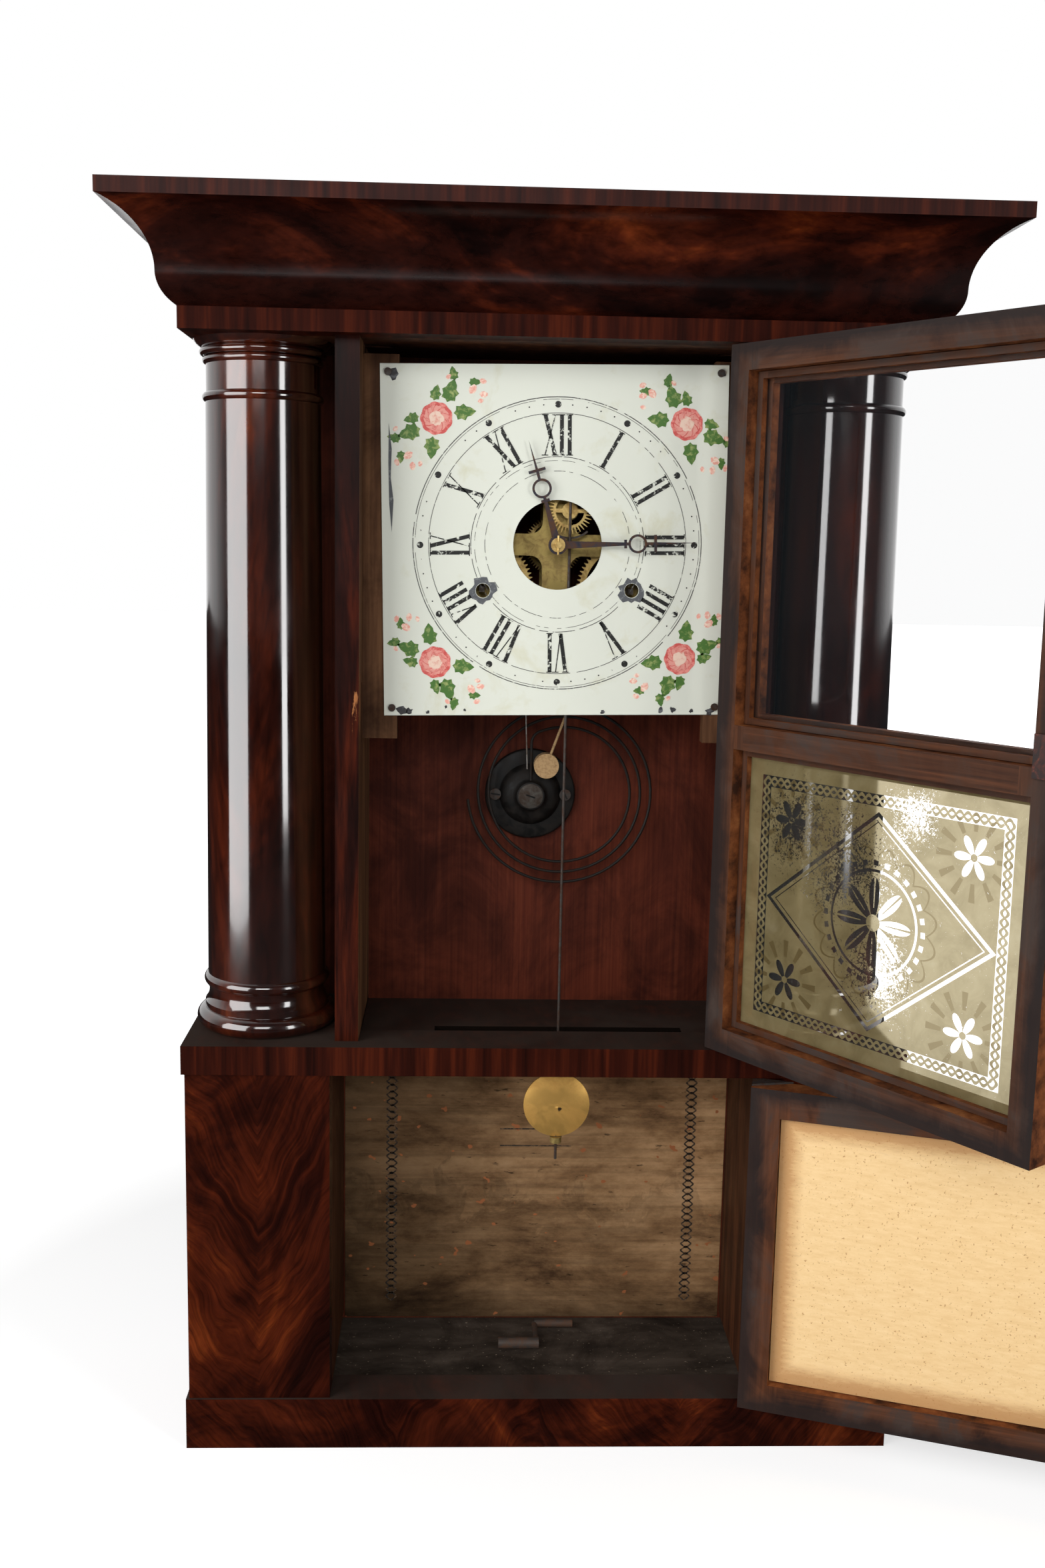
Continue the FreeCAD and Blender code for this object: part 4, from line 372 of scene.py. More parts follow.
def tan_board(name):
    """Bare tan board with fine specks and browner edges; its front is stained."""
    shade = Shader(name)
    where = on_door(shade, "lower_door_panel", LOWER_DOOR_TURN)
    fibre = shade.noise(scaled(shade, where, (0.07, 0.07, 0.30)), 12, 0.80)
    colour = shade.ramp(fibre, TAN)
    speck = shade.noise(scaled(shade, where, (0.62, 0.62, 0.62)), 2, 0.6)
    colour = shade.mix(shade.ramp(speck, [(0.645, 0.0), (0.70, 0.7)]), colour, (0.36, 0.15, 0.05))
    side = abs(shade.axis(where, "X"))
    rise = abs(shade.axis(where, "Z"))
    edge = (side - PANEL_CLEAN[0]).math("MAXIMUM", rise - PANEL_CLEAN[1]) * 0.05
    worn = edge + (shade.value(fibre) - 0.5) * 1.2
    colour = shade.mix(shade.ramp(worn.socket, [(0.55, 0.0), (1.0, 0.75)]), colour, (0.42, 0.20, 0.07))
    front = shade.measure("DOT_PRODUCT", shade.facing, LOWER_DOOR_FRONT) > 0.6
    stained = shade.ramp(shade.noise(scaled(shade, where, (0.02, 0.02, 0.01)), 6, 0.65, 1.2), FLAME)
    shade.bump(fibre, 0.12, 0.0003)
    return shade.set(
        base_color=shade.mix(front.socket, colour, stained), roughness=0.85, specular_ior_level=0.15)


TARNISH = (0.42, 0.62)


def metal(name, clean, dirty, rough, patchy, metallic=1.0, spot=None, tip=None):
    """Aged metal: tarnish in patches over a brighter ground, a dark spot at a place, dark tips in front."""
    shade = Shader(name)
    low, high = TARNISH
    patch = shade.noise(shade.mapped((patchy, patchy, patchy)), 7, 0.7, 0.6)
    scratch = shade.noise(shade.mapped((900, 900, 60)), 2, 0.5)
    worn = shade.ramp(patch, [(low, 0.0), (high, 1.0)])
    colour = shade.mix(worn, clean, dirty)
    roughness = shade.ramp(patch, [(low, rough), (high, min(rough + 0.3, 0.9))])
    if spot:
        ragged = shade.measure("DISTANCE", shade.place, spot) * 140 + shade.value(patch) * 1.6
        stained = shade.ramp(ragged.socket, [(0.95, 1.0), (1.0, 0.0)])
        colour = shade.mix(stained, colour, (0.050, 0.030, 0.015))
    if tip:
        ahead = shade.axis(shade.place, "Y") < tip
        colour = shade.mix(ahead.socket, colour, (0.060, 0.050, 0.042))
    shade.bump(shade.mix(0.5, patch, scratch), 0.12, 0.0003)
    shade.put(shade.shader.inputs["Metallic"], shade.ramp(patch, [(low, metallic), (high, metallic * 0.55)]))
    return shade.set(base_color=colour, roughness=roughness, specular_ior_level=0.25)


def paint(name, colour, flecks, low, high, rough, scale):
    """Old paint whose ground or flaked spots show through in flecks."""
    shade = Shader(name)
    spot = shade.noise(shade.mapped((scale, scale, scale)), 5, 0.65, 0.4)
    worn = shade.ramp(spot, [(low, 0.0), (high, 1.0)])
    return shade.set(base_color=shade.mix(worn, colour, flecks), roughness=rough, specular_ior_level=0.35)


def clear_glass(name):
    """Clear pane: it shows only by its gloss, more so at a slant."""
    shade = Shader(name)
    weight = shade.node("ShaderNodeLayerWeight")
    weight.inputs["Blend"].default_value = 0.35
    alpha = shade.math("MULTIPLY_ADD", weight.outputs["Facing"], 0.05)
    alpha.node.inputs[2].default_value = 0.015
    return shade.set(base_color=(0.10, 0.13, 0.15), roughness=0.04, alpha=alpha)


TABLET_SIGHT = (100.0, 84.5)
# Flaked patches: place across, place up and reach
FLAKED = [(58, 46, 44), (22, 30, 52), (-2, -30, 42), (-24, 66, 26)]
BORDER_EDGE = 9.0
BORDER_WIDTH = 7.0
BORDER_WAVE = 10.5
STRAND_HALF = 1.05
ROSETTE_REACH = 27
ROSETTE_HEART = 5.0
RIB_START = 9.0
RING_RADIUS = 31
BEADS_RADIUS = 35.5
LOZENGE = (82, 64)
STAR_PLACE = (66, 50)
STAR_REACH = 13
STAR_HEART = 2.2
STAR_RAYS = (14.5, 25)
SCALLOPS_RADIUS = 38
SCALLOPS_RISE = 7
KHAKI = [(0.3, (0.20, 0.155, 0.070)), (0.55, (0.29, 0.23, 0.112)), (0.75, (0.34, 0.28, 0.15))]


def frosted_tablet(name):
    """Painted glass: flaked khaki frost on the inner face, with a clear twist border, rosette and lozenge."""
    shade = Shader(name)
    where = on_door(shade, "tablet_glass", UPPER_DOOR_TURN)
    across, up = shade.axis(where, "X"), shade.axis(where, "Z")
    side, rise = abs(across), abs(up)

    from_side = side * -1 + TABLET_SIGHT[0]
    from_end = rise * -1 + TABLET_SIGHT[1]
    depth = from_side.math("MINIMUM", from_end) - BORDER_EDGE - BORDER_WIDTH / 2
    upright = from_side < from_end
    run = upright * up + (upright * -1 + 1) * across
    sway = (run * (2 * math.pi / BORDER_WAVE)).math("SINE") * (0.30 * BORDER_WIDTH)
    strands = (abs(depth - sway) < STRAND_HALF) | (abs(depth + sway) < STRAND_HALF)
    border = (abs(depth) < BORDER_WIDTH / 2) & (strands * -1 + 1)

    radius = (across * across + up * up).math("SQRT")
    bearing = up.math("ARCTAN2", across)
    petal = abs((bearing * 4).math("COSINE")) * ROSETTE_REACH
    rib = abs((bearing * 4).math("SINE")) < 0.10
    rosette = (radius < petal) & (radius > ROSETTE_HEART) & ((rib & (radius > RIB_START)) * -1 + 1)
    ring = abs(radius - RING_RADIUS) < 0.8
    beads = (abs(radius - BEADS_RADIUS) < 1.5) & ((bearing * 28).math("COSINE") > 0.2)
    lozenge = side * (1 / LOZENGE[0]) + rise * (1 / LOZENGE[1])
    lines = (abs(lozenge - 1) < 0.022) | (abs(lozenge - 0.93) < 0.006)
    corner_side, corner_rise = side - STAR_PLACE[0], rise - STAR_PLACE[1]
    corner = (corner_side * corner_side + corner_rise * corner_rise).math("SQRT")
    spoke = corner_rise.math("ARCTAN2", corner_side)
    spread = abs((spoke * 3).math("COSINE")) * STAR_REACH
    stars = (corner < spread) & (corner > STAR_HEART)
    design = border | rosette | ring | beads | lines | stars

    patch = shade.value(shade.noise(scaled(shade, where, (0.045, 0.045, 0.045)), 4, 0.6, 0.6))
    fleck = shade.value(shade.noise(scaled(shade, where, (0.68, 0.68, 0.68)), 5, 0.75, 0.8))
    bald = shade.value(0.0)
    for place_across, place_up, reach in FLAKED:
        aside, above = across - place_across, up - place_up
        near = (aside * aside + above * above).math("SQRT") * (-1 / reach) + 1
        bald = bald | near
    flaked = fleck < (bald * 0.26 + patch * 0.22 + 0.20)
    inner = shade.axis(where, "Y") > 0.2
    frost = (inner & ((design | flaked) * -1 + 1)).socket

    stain = shade.noise(shade.mapped((45, 45, 45)), 6, 0.65, 0.8)
    khaki = shade.ramp(stain, KHAKI)
    rays = (corner > STAR_RAYS[0]) & (corner < STAR_RAYS[1]) & ((spoke * 12).math("COSINE") > 0.55)
    scallops = abs(radius - abs((bearing * 8).math("SINE")) * SCALLOPS_RISE - SCALLOPS_RADIUS) < 0.7
    khaki = shade.mix((rays | scallops).socket, khaki, (0.17, 0.125, 0.052))
    return shade.set(
        base_color=shade.mix(frost, (0.35, 0.38, 0.37), khaki), roughness=0.32, ior=1.04,
        transmission_weight=shade.math("MULTIPLY", frost, 0.5), coat_weight=0.35,
        coat_roughness=COAT_ROUGHNESS, alpha=shade.math("MAXIMUM", frost, 0.03))


def aged_paper(name):
    """Brown foxed paper: streaks along its width, specks, tide marks of an old stain, darker towards its
    foot; painted shade darkens its left and painted light brightens its right.
    """
    shade = Shader(name)
    cloud = shade.noise(shade.mapped((9, 9, 22)), 9, 0.72, 0.15)
    colour = shade.ramp(cloud, [
        (0.34, (0.070, 0.034, 0.015)), (0.45, (0.190, 0.104, 0.047)), (0.56, (0.30, 0.176, 0.086)),
        (0.70, (0.38, 0.236, 0.124))])
    streak = shade.noise(shade.mapped((6, 6, 240)), 5, 0.6, 0.4)
    colour = shade.mix(0.45, colour, shade.ramp(streak, [(0.36, 0.45), (0.55, 1.0)]), "MULTIPLY")
    dash = shade.noise(shade.mapped((85, 85, 300)), 3, 0.6)
    colour = shade.mix(0.8, colour, shade.ramp(dash, [(0.27, 0.15), (0.33, 1.0)]), "MULTIPLY")
    height = shade.axis(shade.place, "Z")
    flow = shade.value(shade.noise(shade.mapped((34, 34, 26)), 8, 0.68, 1.2))
    level = height - flow * 0.20
    wet = shade.ramp(level.socket, [(0.0, 0.75), (0.018, 0.55), (0.030, 1.0)])
    colour = shade.mix(0.6, colour, wet, "MULTIPLY")
    # Painted light and shade: darker towards the label's left, brighter towards its right
    painted_side_light = shade.ramp(shade.math("ADD", shade.part(shade.place, "X"), 0.15), [(0.0, 0.45), (0.28, 1.45)])
    colour = shade.mix(1.0, colour, painted_side_light, "MULTIPLY")
    foot = shade.ramp((height + flow * 0.03).socket, [(0.046, 0.45), (0.075, 1.0)])
    colour = shade.mix(1.0, colour, foot, "MULTIPLY")
    bare = shade.noise(shade.mapped((95, 95, 120)), 2, 0.5)
    colour = shade.mix(shade.ramp(bare, [(0.70, 0.0), (0.715, 1.0)]), colour, (0.30, 0.105, 0.04))
    shade.bump(cloud, 0.2, 0.0006)
    return shade.set(base_color=colour, roughness=0.85, specular_ior_level=0.12)


BROWN = [(0.28, (0.018, 0.0064, 0.0034)), (0.52, (0.058, 0.0195, 0.0082)), (0.78, (0.130, 0.044, 0.0165))]
RED_PINE = [(0.22, (0.050, 0.0090, 0.0042)), (0.5, (0.098, 0.0185, 0.0078)), (0.80, (0.145, 0.032, 0.0128))]
DUSTY = [(0.30, (0.030, 0.022, 0.016)), (0.55, (0.076, 0.058, 0.045)), (0.8, (0.16, 0.13, 0.105))]
RAW = [(0.28, (0.036, 0.0150, 0.0072)), (0.5, (0.092, 0.041, 0.019)), (0.78, (0.20, 0.098, 0.044))]
UPRIGHT = (130, 130, 4)
COLUMN_AXIS = (186.5, -7)
DIAL_GROUND = (0.64, 0.66, 0.58)

BRASS = ((0.74, 0.54, 0.21), (0.38, 0.24, 0.08), 0.30, 90)
brass = metal("aged_brass", *BRASS)
drum_brass = metal("drum_brass", *BRASS, tip=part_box("front_plate")[1].y)
plate_brass = metal("plate_brass", (0.40, 0.30, 0.105), (0.26, 0.18, 0.065), 0.38, 150)
bob_low, bob_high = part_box("pendulum_bob")
SPOT_SHIFT = 2 * MM
bob_spot = ((bob_low.x + bob_high.x) / 2 + SPOT_SHIFT, bob_low.y, (bob_low.z + bob_high.z) / 2 - SPOT_SHIFT)
bob_brass = metal("bob_brass", (0.66, 0.385, 0.105), (0.48, 0.25, 0.06), 0.36, 38, 0.7, spot=bob_spot)
blued = metal("blued_steel", (0.040, 0.040, 0.052), (0.085, 0.040, 0.022), 0.38, 160, 0.8)
iron_wire = metal("iron_wire", (0.060, 0.054, 0.050), (0.055, 0.028, 0.017), 0.45, 220, 0.6)
gong_steel = metal("gong_steel", (0.014, 0.013, 0.012), (0.022, 0.013, 0.009), 0.45, 200, 0.3)
bright_wire = metal("bright_wire", (0.32, 0.31, 0.29), (0.16, 0.12, 0.09), 0.35, 200, 0.9)
cast_black = metal("cast_black", (0.0040, 0.0038, 0.0036), (0.012, 0.009, 0.007), 0.45, 120, 0.0)
rusty = metal("rusty_iron", (0.075, 0.062, 0.055), (0.12, 0.055, 0.028), 0.6, 70, 0.6)
pane = clear_glass("pane_glass")
tablet = frosted_tablet("frosted_tablet")
turned_wood = veneer("turned_wood", (20, 20, 20), gloss=0.3)
CORNICE_BAND = 791 * MM
cornice = veneer("cornice_veneer", (1.0, 2.0, 2.2), 6.5, 0.08, band=CORNICE_BAND, level=0.14, dust=0.6)
# Reach and start of the ledge's hollow, whose walls get painted shade
SHADED_HOLLOW_REACH = 130 * MM
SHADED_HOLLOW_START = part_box("waist_ledge")[0].y + 15 * MM
crossband = veneer(
    "crossband_veneer", (1, 1, 1), band=0, gloss=0.2, level=0.04, dust=0.95,
    shaded_hollow=(SHADED_HOLLOW_REACH, SHADED_HOLLOW_START))
pier = veneer("pier_veneer", (2.0, 2.0, 0.9), figure=6.0, plume=COLUMN_AXIS[0] * MM, level=0.1)
PLINTH_PLUME = 95 * MM
plinth = veneer("plinth_veneer", (1.0, 1.0, 1.6), figure=8.0, plume=PLINTH_PLUME, level=0.14, dust=0.95)
TORN_INSET = 6 * MM
TORN_HEIGHT = 498 * MM
side_low, side_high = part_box("upper_side_left")
torn_place = (side_high.x, side_low.y + TORN_INSET, TORN_HEIGHT)
strip = veneer(
    "strip_veneer", (9, 9, 0.7), figure=4.0, dark=0.06, gloss=0.3, level=0.1, bare=RAW, torn=torn_place)
column = veneer("column_veneer", (2.8, 2.8, 0.6), figure=5.0, dark=0.07, gloss=0.06, level=1.0, coat=0.7)
red_pine = plain_wood("red_pine", RED_PINE, (420, 420, 7), rough=0.7, grime=0.75)
dark_pine = plain_wood("dark_pine", BROWN, UPRIGHT, rough=0.65)
side_wood = plain_wood("side_wood", RED_PINE, UPRIGHT, rough=0.45, grime=0.3)
dusty = plain_wood("dusty_board", DUSTY, (12, 40, 40), rough=0.9, grime=0.75, crumbs=0.8)
raw_wood = plain_wood("raw_wood", RAW, UPRIGHT, rough=0.8, grime=0.8)
upper_wood = door_wood(
    "upper_door_wood", "upper_door_frame", UPPER_DOOR_TURN, UPPER_DOOR_HALF, UPPER_RAIL_REACH,
    UPPER_DOOR_FRONT, (0.085, 0.036, 0.018))
lower_wood = door_wood(
    "lower_door_wood", "lower_door_frame", LOWER_DOOR_TURN, LOWER_DOOR_HALF, LOWER_RAIL_REACH,
    LOWER_DOOR_FRONT, (0.17, 0.060, 0.024))
dial_paint = paint("dial_paint", DIAL_GROUND, (0.56, 0.55, 0.40), 0.58, 0.80, 0.5, 30)
leather = paint("leather", (0.42, 0.27, 0.13), (0.24, 0.14, 0.065), 0.45, 0.7, 0.85, 500)
cord_fibre = paint("cord_fibre", (0.36, 0.28, 0.17), (0.2, 0.15, 0.08), 0.4, 0.7, 0.9, 900)

LOOKS = {
    cornice: ["cornice_front", "cornice_returns"],
    crossband: ["frieze_rail", "waist_ledge"],
    pier: ["pier_left", "pier_right"],
    plinth: ["base_plinth"],
    strip: ["upper_side_left", "upper_side_right"],
    column: ["column_left", "column_right"],
    red_pine: ["back_board"],
    side_wood: ["lower_sides"],
    dark_pine: ["soffit_board", "top_board", "lower_walls"],
    dusty: ["lower_floor"],
    raw_wood: ["dial_rails"],
    upper_wood: ["upper_door_frame", "glazing_beads"],
    lower_wood: ["lower_door_frame"],
    tan_board("tan_board"): ["lower_door_panel"],
    turned_wood: ["door_catch", "pulley_left", "pulley_right"],
    aged_paper("label_paper"): ["paper_label"],
    dial_paint: ["dial_plate"],
    pane: ["upper_glass"],
    tablet: ["tablet_glass"],
    plate_brass: ["front_plate", "back_plate", "movement_posts", "rating_nut"],
    drum_brass: ["cord_drum_left", "cord_drum_right"],
    brass: [
        "centre_arbor", "hour_pipe", "hand_washer_and_pin", "escape_wheel", "count_wheel", "fly"],
    bob_brass: ["pendulum_bob"],
    blued: ["hour_hand", "minute_hand"],
    iron_wire: [
        "upper_pivots", "lower_pivots", "dial_pins", "verge", "pendulum_rod", "gong_screws",
        "pulley_brackets"],
    rusty: ["weight_left", "weight_right", "crank_key"],
    leather: ["hammer"],
}
for look, names in LOOKS.items():
    for name in names:
        nodes[name].data.materials.clear()
        nodes[name].data.materials.append(look)


def mesh_piece(name, work, material):
    """An object made of finished faces."""
    bmesh.ops.recalc_face_normals(work, faces=work.faces)
    mesh = bpy.data.meshes.new(name)
    work.to_mesh(mesh)
    work.free()
    mesh.materials.append(material)
    piece = bpy.data.objects.new(name, mesh)
    bpy.context.scene.collection.objects.link(piece)
    return piece


PAINT_THICKNESS = 0.06 * MM


def polygon_piece(name, polygons, body, material, to_world):
    """Thin raised paint: flat outlines, given in millimetres in a plane, made into prisms."""
    work = bmesh.new()
    for outline in polygons:
        corners = [work.verts.new(to_world(u, v)) for u, v in outline]
        face = work.faces.new(corners)
        lifted = bmesh.ops.extrude_face_region(work, geom=[face])
        tops = [item for item in lifted["geom"] if isinstance(item, bmesh.types.BMVert)]
        lift = to_world(0, 0, PAINT_THICKNESS) - to_world(0, 0)
        bmesh.ops.translate(work, vec=lift, verts=tops)
    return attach(mesh_piece(name, work, material), body)


def turned_outline(outline, angle, place=(0, 0), size=1.0):
    """An outline scaled, turned clockwise by an angle in degrees and moved."""
    cosine, sine = math.cos(math.radians(angle)), math.sin(math.radians(angle))
    return [
        (place[0] + size * (u * cosine + v * sine), place[1] + size * (v * cosine - u * sine))
        for u, v in outline]


def polar(place, reach, angle):
    """A point at a distance and an angle in radians from a place."""
    return place[0] + reach * math.cos(angle), place[1] + reach * math.sin(angle)


def circle(radius, count, place, wobble=0.0):
    """A disc, its rim uneven by a share of the radius."""
    points = []
    for index in range(count):
        reach = radius * (1 + wobble * random.uniform(-1, 1))
        points.append(polar(place, reach, 2 * math.pi * index / count))
    return points


def ring_piece(place, inner, outer, index, count):
    """One of the strips that make a ring about a place; outer holds the radius at both its ends."""
    start, end = (2 * math.pi * (index + step) / count for step in (0, 1))
    return [
        polar(place, inner, start), polar(place, outer[0], start), polar(place, outer[1], end),
        polar(place, inner, end)]


RING_STRIPS = 120


def ring_strips(radius, width, gaps):
    """A ring as short strips, some left out where the line has worn away."""
    inner, outer = radius - width / 2, radius + width / 2
    strips = []
    for index in range(RING_STRIPS):
        if random.random() >= gaps:
            strips.append(ring_piece((0, 0), inner, (outer, outer), index, RING_STRIPS))
    return strips


def bar(start, end, width):
    """A straight stroke between two points."""
    along = Vector((end[0] - start[0], end[1] - start[1])).normalized()
    side = Vector((-along.y, along.x)) * width / 2
    return [
        (start[0] - side.x, start[1] - side.y), (end[0] - side.x, end[1] - side.y),
        (end[0] + side.x, end[1] + side.y), (start[0] + side.x, start[1] + side.y)]


HOURS = ["XII", "I", "II", "III", "IIII", "V", "VI", "VII", "VIII", "IX", "X", "XI"]
NUMERAL_FOOT = 56.5
NUMERAL_HEAD = 81.5
LETTER_WIDTH = {"I": 5.0, "V": 9.6, "X": 9.8}
THICK = 2.5
THIN = 0.7
SERIF = 0.6
SERIF_REACH = 2.1
# Distance of a stroke's end from the edge of its letter, and of the tip of a V from its middle
THICK_INSET = 1.8
V_THIN_INSET = 1.4
X_THIN_INSET = 1.6
V_TIP = 0.3


def letter(sign, left):
    """Strokes of one Roman numeral sign between the foot and head circles."""
    width = LETTER_WIDTH[sign]
    right, middle = left + width, left + width / 2
    foot, head = NUMERAL_FOOT, NUMERAL_HEAD
    strokes = []
    if sign == "I":
        strokes.append(bar((middle, foot), (middle, head), THICK))
        serifs = [(middle, head), (middle, foot)]
    elif sign == "V":
        tip = (middle + V_TIP, foot)
        serifs = [(left + THICK_INSET, head), (right - V_THIN_INSET, head)]
        strokes.append(bar(serifs[0], tip, THICK))
        strokes.append(bar(serifs[1], tip, THIN))
    else:
        serifs = [
            (left + THICK_INSET, head), (right - X_THIN_INSET, head), (left + X_THIN_INSET, foot),
            (right - THICK_INSET, foot)]
        strokes.append(bar(serifs[0], serifs[3], THICK))
        strokes.append(bar(serifs[1], serifs[2], THIN))
    for u, v in serifs:
        strokes.append(bar((u - SERIF_REACH, v), (u + SERIF_REACH, v), SERIF))
    return strokes


# Numerals with feet worn off by the winding holes: hour and where the paint starts
WORN_FEET = {4: 64.5, 8: 64.5}


def numeral(word, hour):
    """Strokes of an hour's numeral, turned to its place."""
    total = sum(LETTER_WIDTH[sign] for sign in word)
    left = -total / 2
    strokes = []
    for sign in word:
        strokes += letter(sign, left)
        left += LETTER_WIDTH[sign]
    start = WORN_FEET.get(hour, 0)
    kept = [stroke for stroke in strokes if max(v for _, v in stroke) > start + 1]
    return [turned_outline([(u, max(v, start)) for u, v in stroke], 30 * hour) for stroke in kept]


LEAF = [
    (0, 0), (1.0, 0.9), (2.5, 1.2), (2.2, 2.6), (3.0, 4.0), (1.7, 4.9), (1.5, 6.3), (0, 8.2), (-1.5, 6.3),
    (-1.9, 4.8), (-3.0, 3.8), (-2.2, 2.5), (-2.4, 1.1), (-0.9, 0.9)]
BUD = [(0, 0), (1.2, 1.0), (1.4, 2.4), (0.5, 3.8), (-0.6, 3.8), (-1.4, 2.2), (-1.1, 0.9)]
# Each rose: place on the dial and bearing of its corner
ROSES = [((-77, 79), 315), ((82, 76), 45), ((-79, -75), 225), ((80, -73), 135)]
ROSE_RADIUS = 10.4
ROSE_RIM = 2.2
ROSE_HEART = 4.4
ROSE_LOBES = 9
SWIRL_STEPS = 4
SWIRL_TURN = math.radians(48)
SWIRL_INSET = 0.5
SWIRL_DEPTH = 6.4
# Leaves and buds on both flanks of a rose: distance, degrees off the corner, turn of the shape, size
SPRAY_LEAVES = [
    (11.0, 40, 20, 1.25), (12.0, 76, -12, 1.85), (11.4, 122, 8, 1.75), (26, 74, -40, 1.1), (30, 90, 40, 1.0)]
SPRAY_BUDS = [
    (25, 60, 30, 1.0), (26, 99, -20, 1.7), (31, 104, 35, 1.4), (36, 92, 60, 1.2), (28, 112, 10, 1.0)]
SPRAY_STRAY = 4


def flank_shapes(outline, spray, place, corner):
    """One outline repeated on both flanks of a rose."""
    shapes = []
    for flank in (-1, 1):
        for distance, off, turn, size in spray:
            bearing = corner + flank * off
            angle = math.radians(bearing + random.uniform(-SPRAY_STRAY, SPRAY_STRAY))
            spot = (place[0] + distance * math.sin(angle), place[1] + distance * math.cos(angle))
            shapes.append(turned_outline(outline, bearing + flank * turn, spot, size))
    return shapes


def scalloped(radius, place):
    """A disc with a petalled rim."""
    count = 6 * ROSE_LOBES
    points = []
    for index in range(count):
        angle = 2 * math.pi * index / count
        reach = radius * (0.92 + 0.08 * abs(math.sin(ROSE_LOBES * angle / 2)))
        points.append(polar(place, reach, angle))
    return points


def rose_swirl(place):
    """Curved brush strokes that run in from the rim of a rose."""
    strokes = []
    for index in range(ROSE_LOBES):
        start = 2 * math.pi * index / ROSE_LOBES
        edges = ([], [])
        for step in range(SWIRL_STEPS + 1):
            share = step / SWIRL_STEPS
            angle = start + SWIRL_TURN * share
            reach = ROSE_RADIUS - SWIRL_INSET - SWIRL_DEPTH * share
            for edge, lean in zip(edges, (-1, 1)):
                offset = lean * (0.17 - 0.10 * share) * random.uniform(0.4, 1.0) * 4 / max(reach, 4)
                edge.append(polar(place, reach, angle + offset))
        strokes.append(edges[0] + edges[1][::-1])
    return strokes


DIAL_AXIS = (2, 600)
DIAL_TILT = math.radians(1)
PAINT_STEP = 0.07 * MM
# Each ring: radius, width and share worn away
DIAL_RINGS = [
    (92.6, 0.55, 0.05), (91.2, 0.3, 0.12), (82.6, 0.4, 0.05), (55.6, 0.45, 0.16), (53.2, 0.3, 0.3),
    (46.6, 0.35, 0.3)]
DOT_RING = 88
HOUR_DOT = 2.1
MINUTE_DOT = 0.5
DOTS_KEPT = 0.85
WINDING_HOLE = (48, -29)
HOLE_RADIUS = 4.9
HALO_STRIPS = 20
HALO_LEAST = 6.5
HALO_SPREAD = 3.2
# Each chip: radius and place
CHIPS = [
    (3.6, (-104, 106)), (3.2, (-101, -106)), (2.2, (-96, -107)), (2.4, (100, -107.5)), (1.9, (76, -106)),
    (2.0, (68, -106.5)), (1.3, (88, -107)), (1.1, (-84, -107.5)), (0.9, (-60, -106)), (1.3, (30, -107.5)),
    (2.0, (104, 107)), (1.0, (-72, -104))]
STREAK = [(-107, 76), (-105.4, 60), (-106.2, 42), (-104.6, 28), (-106.0, 8), (-107.4, 26), (-107.6, 52)]


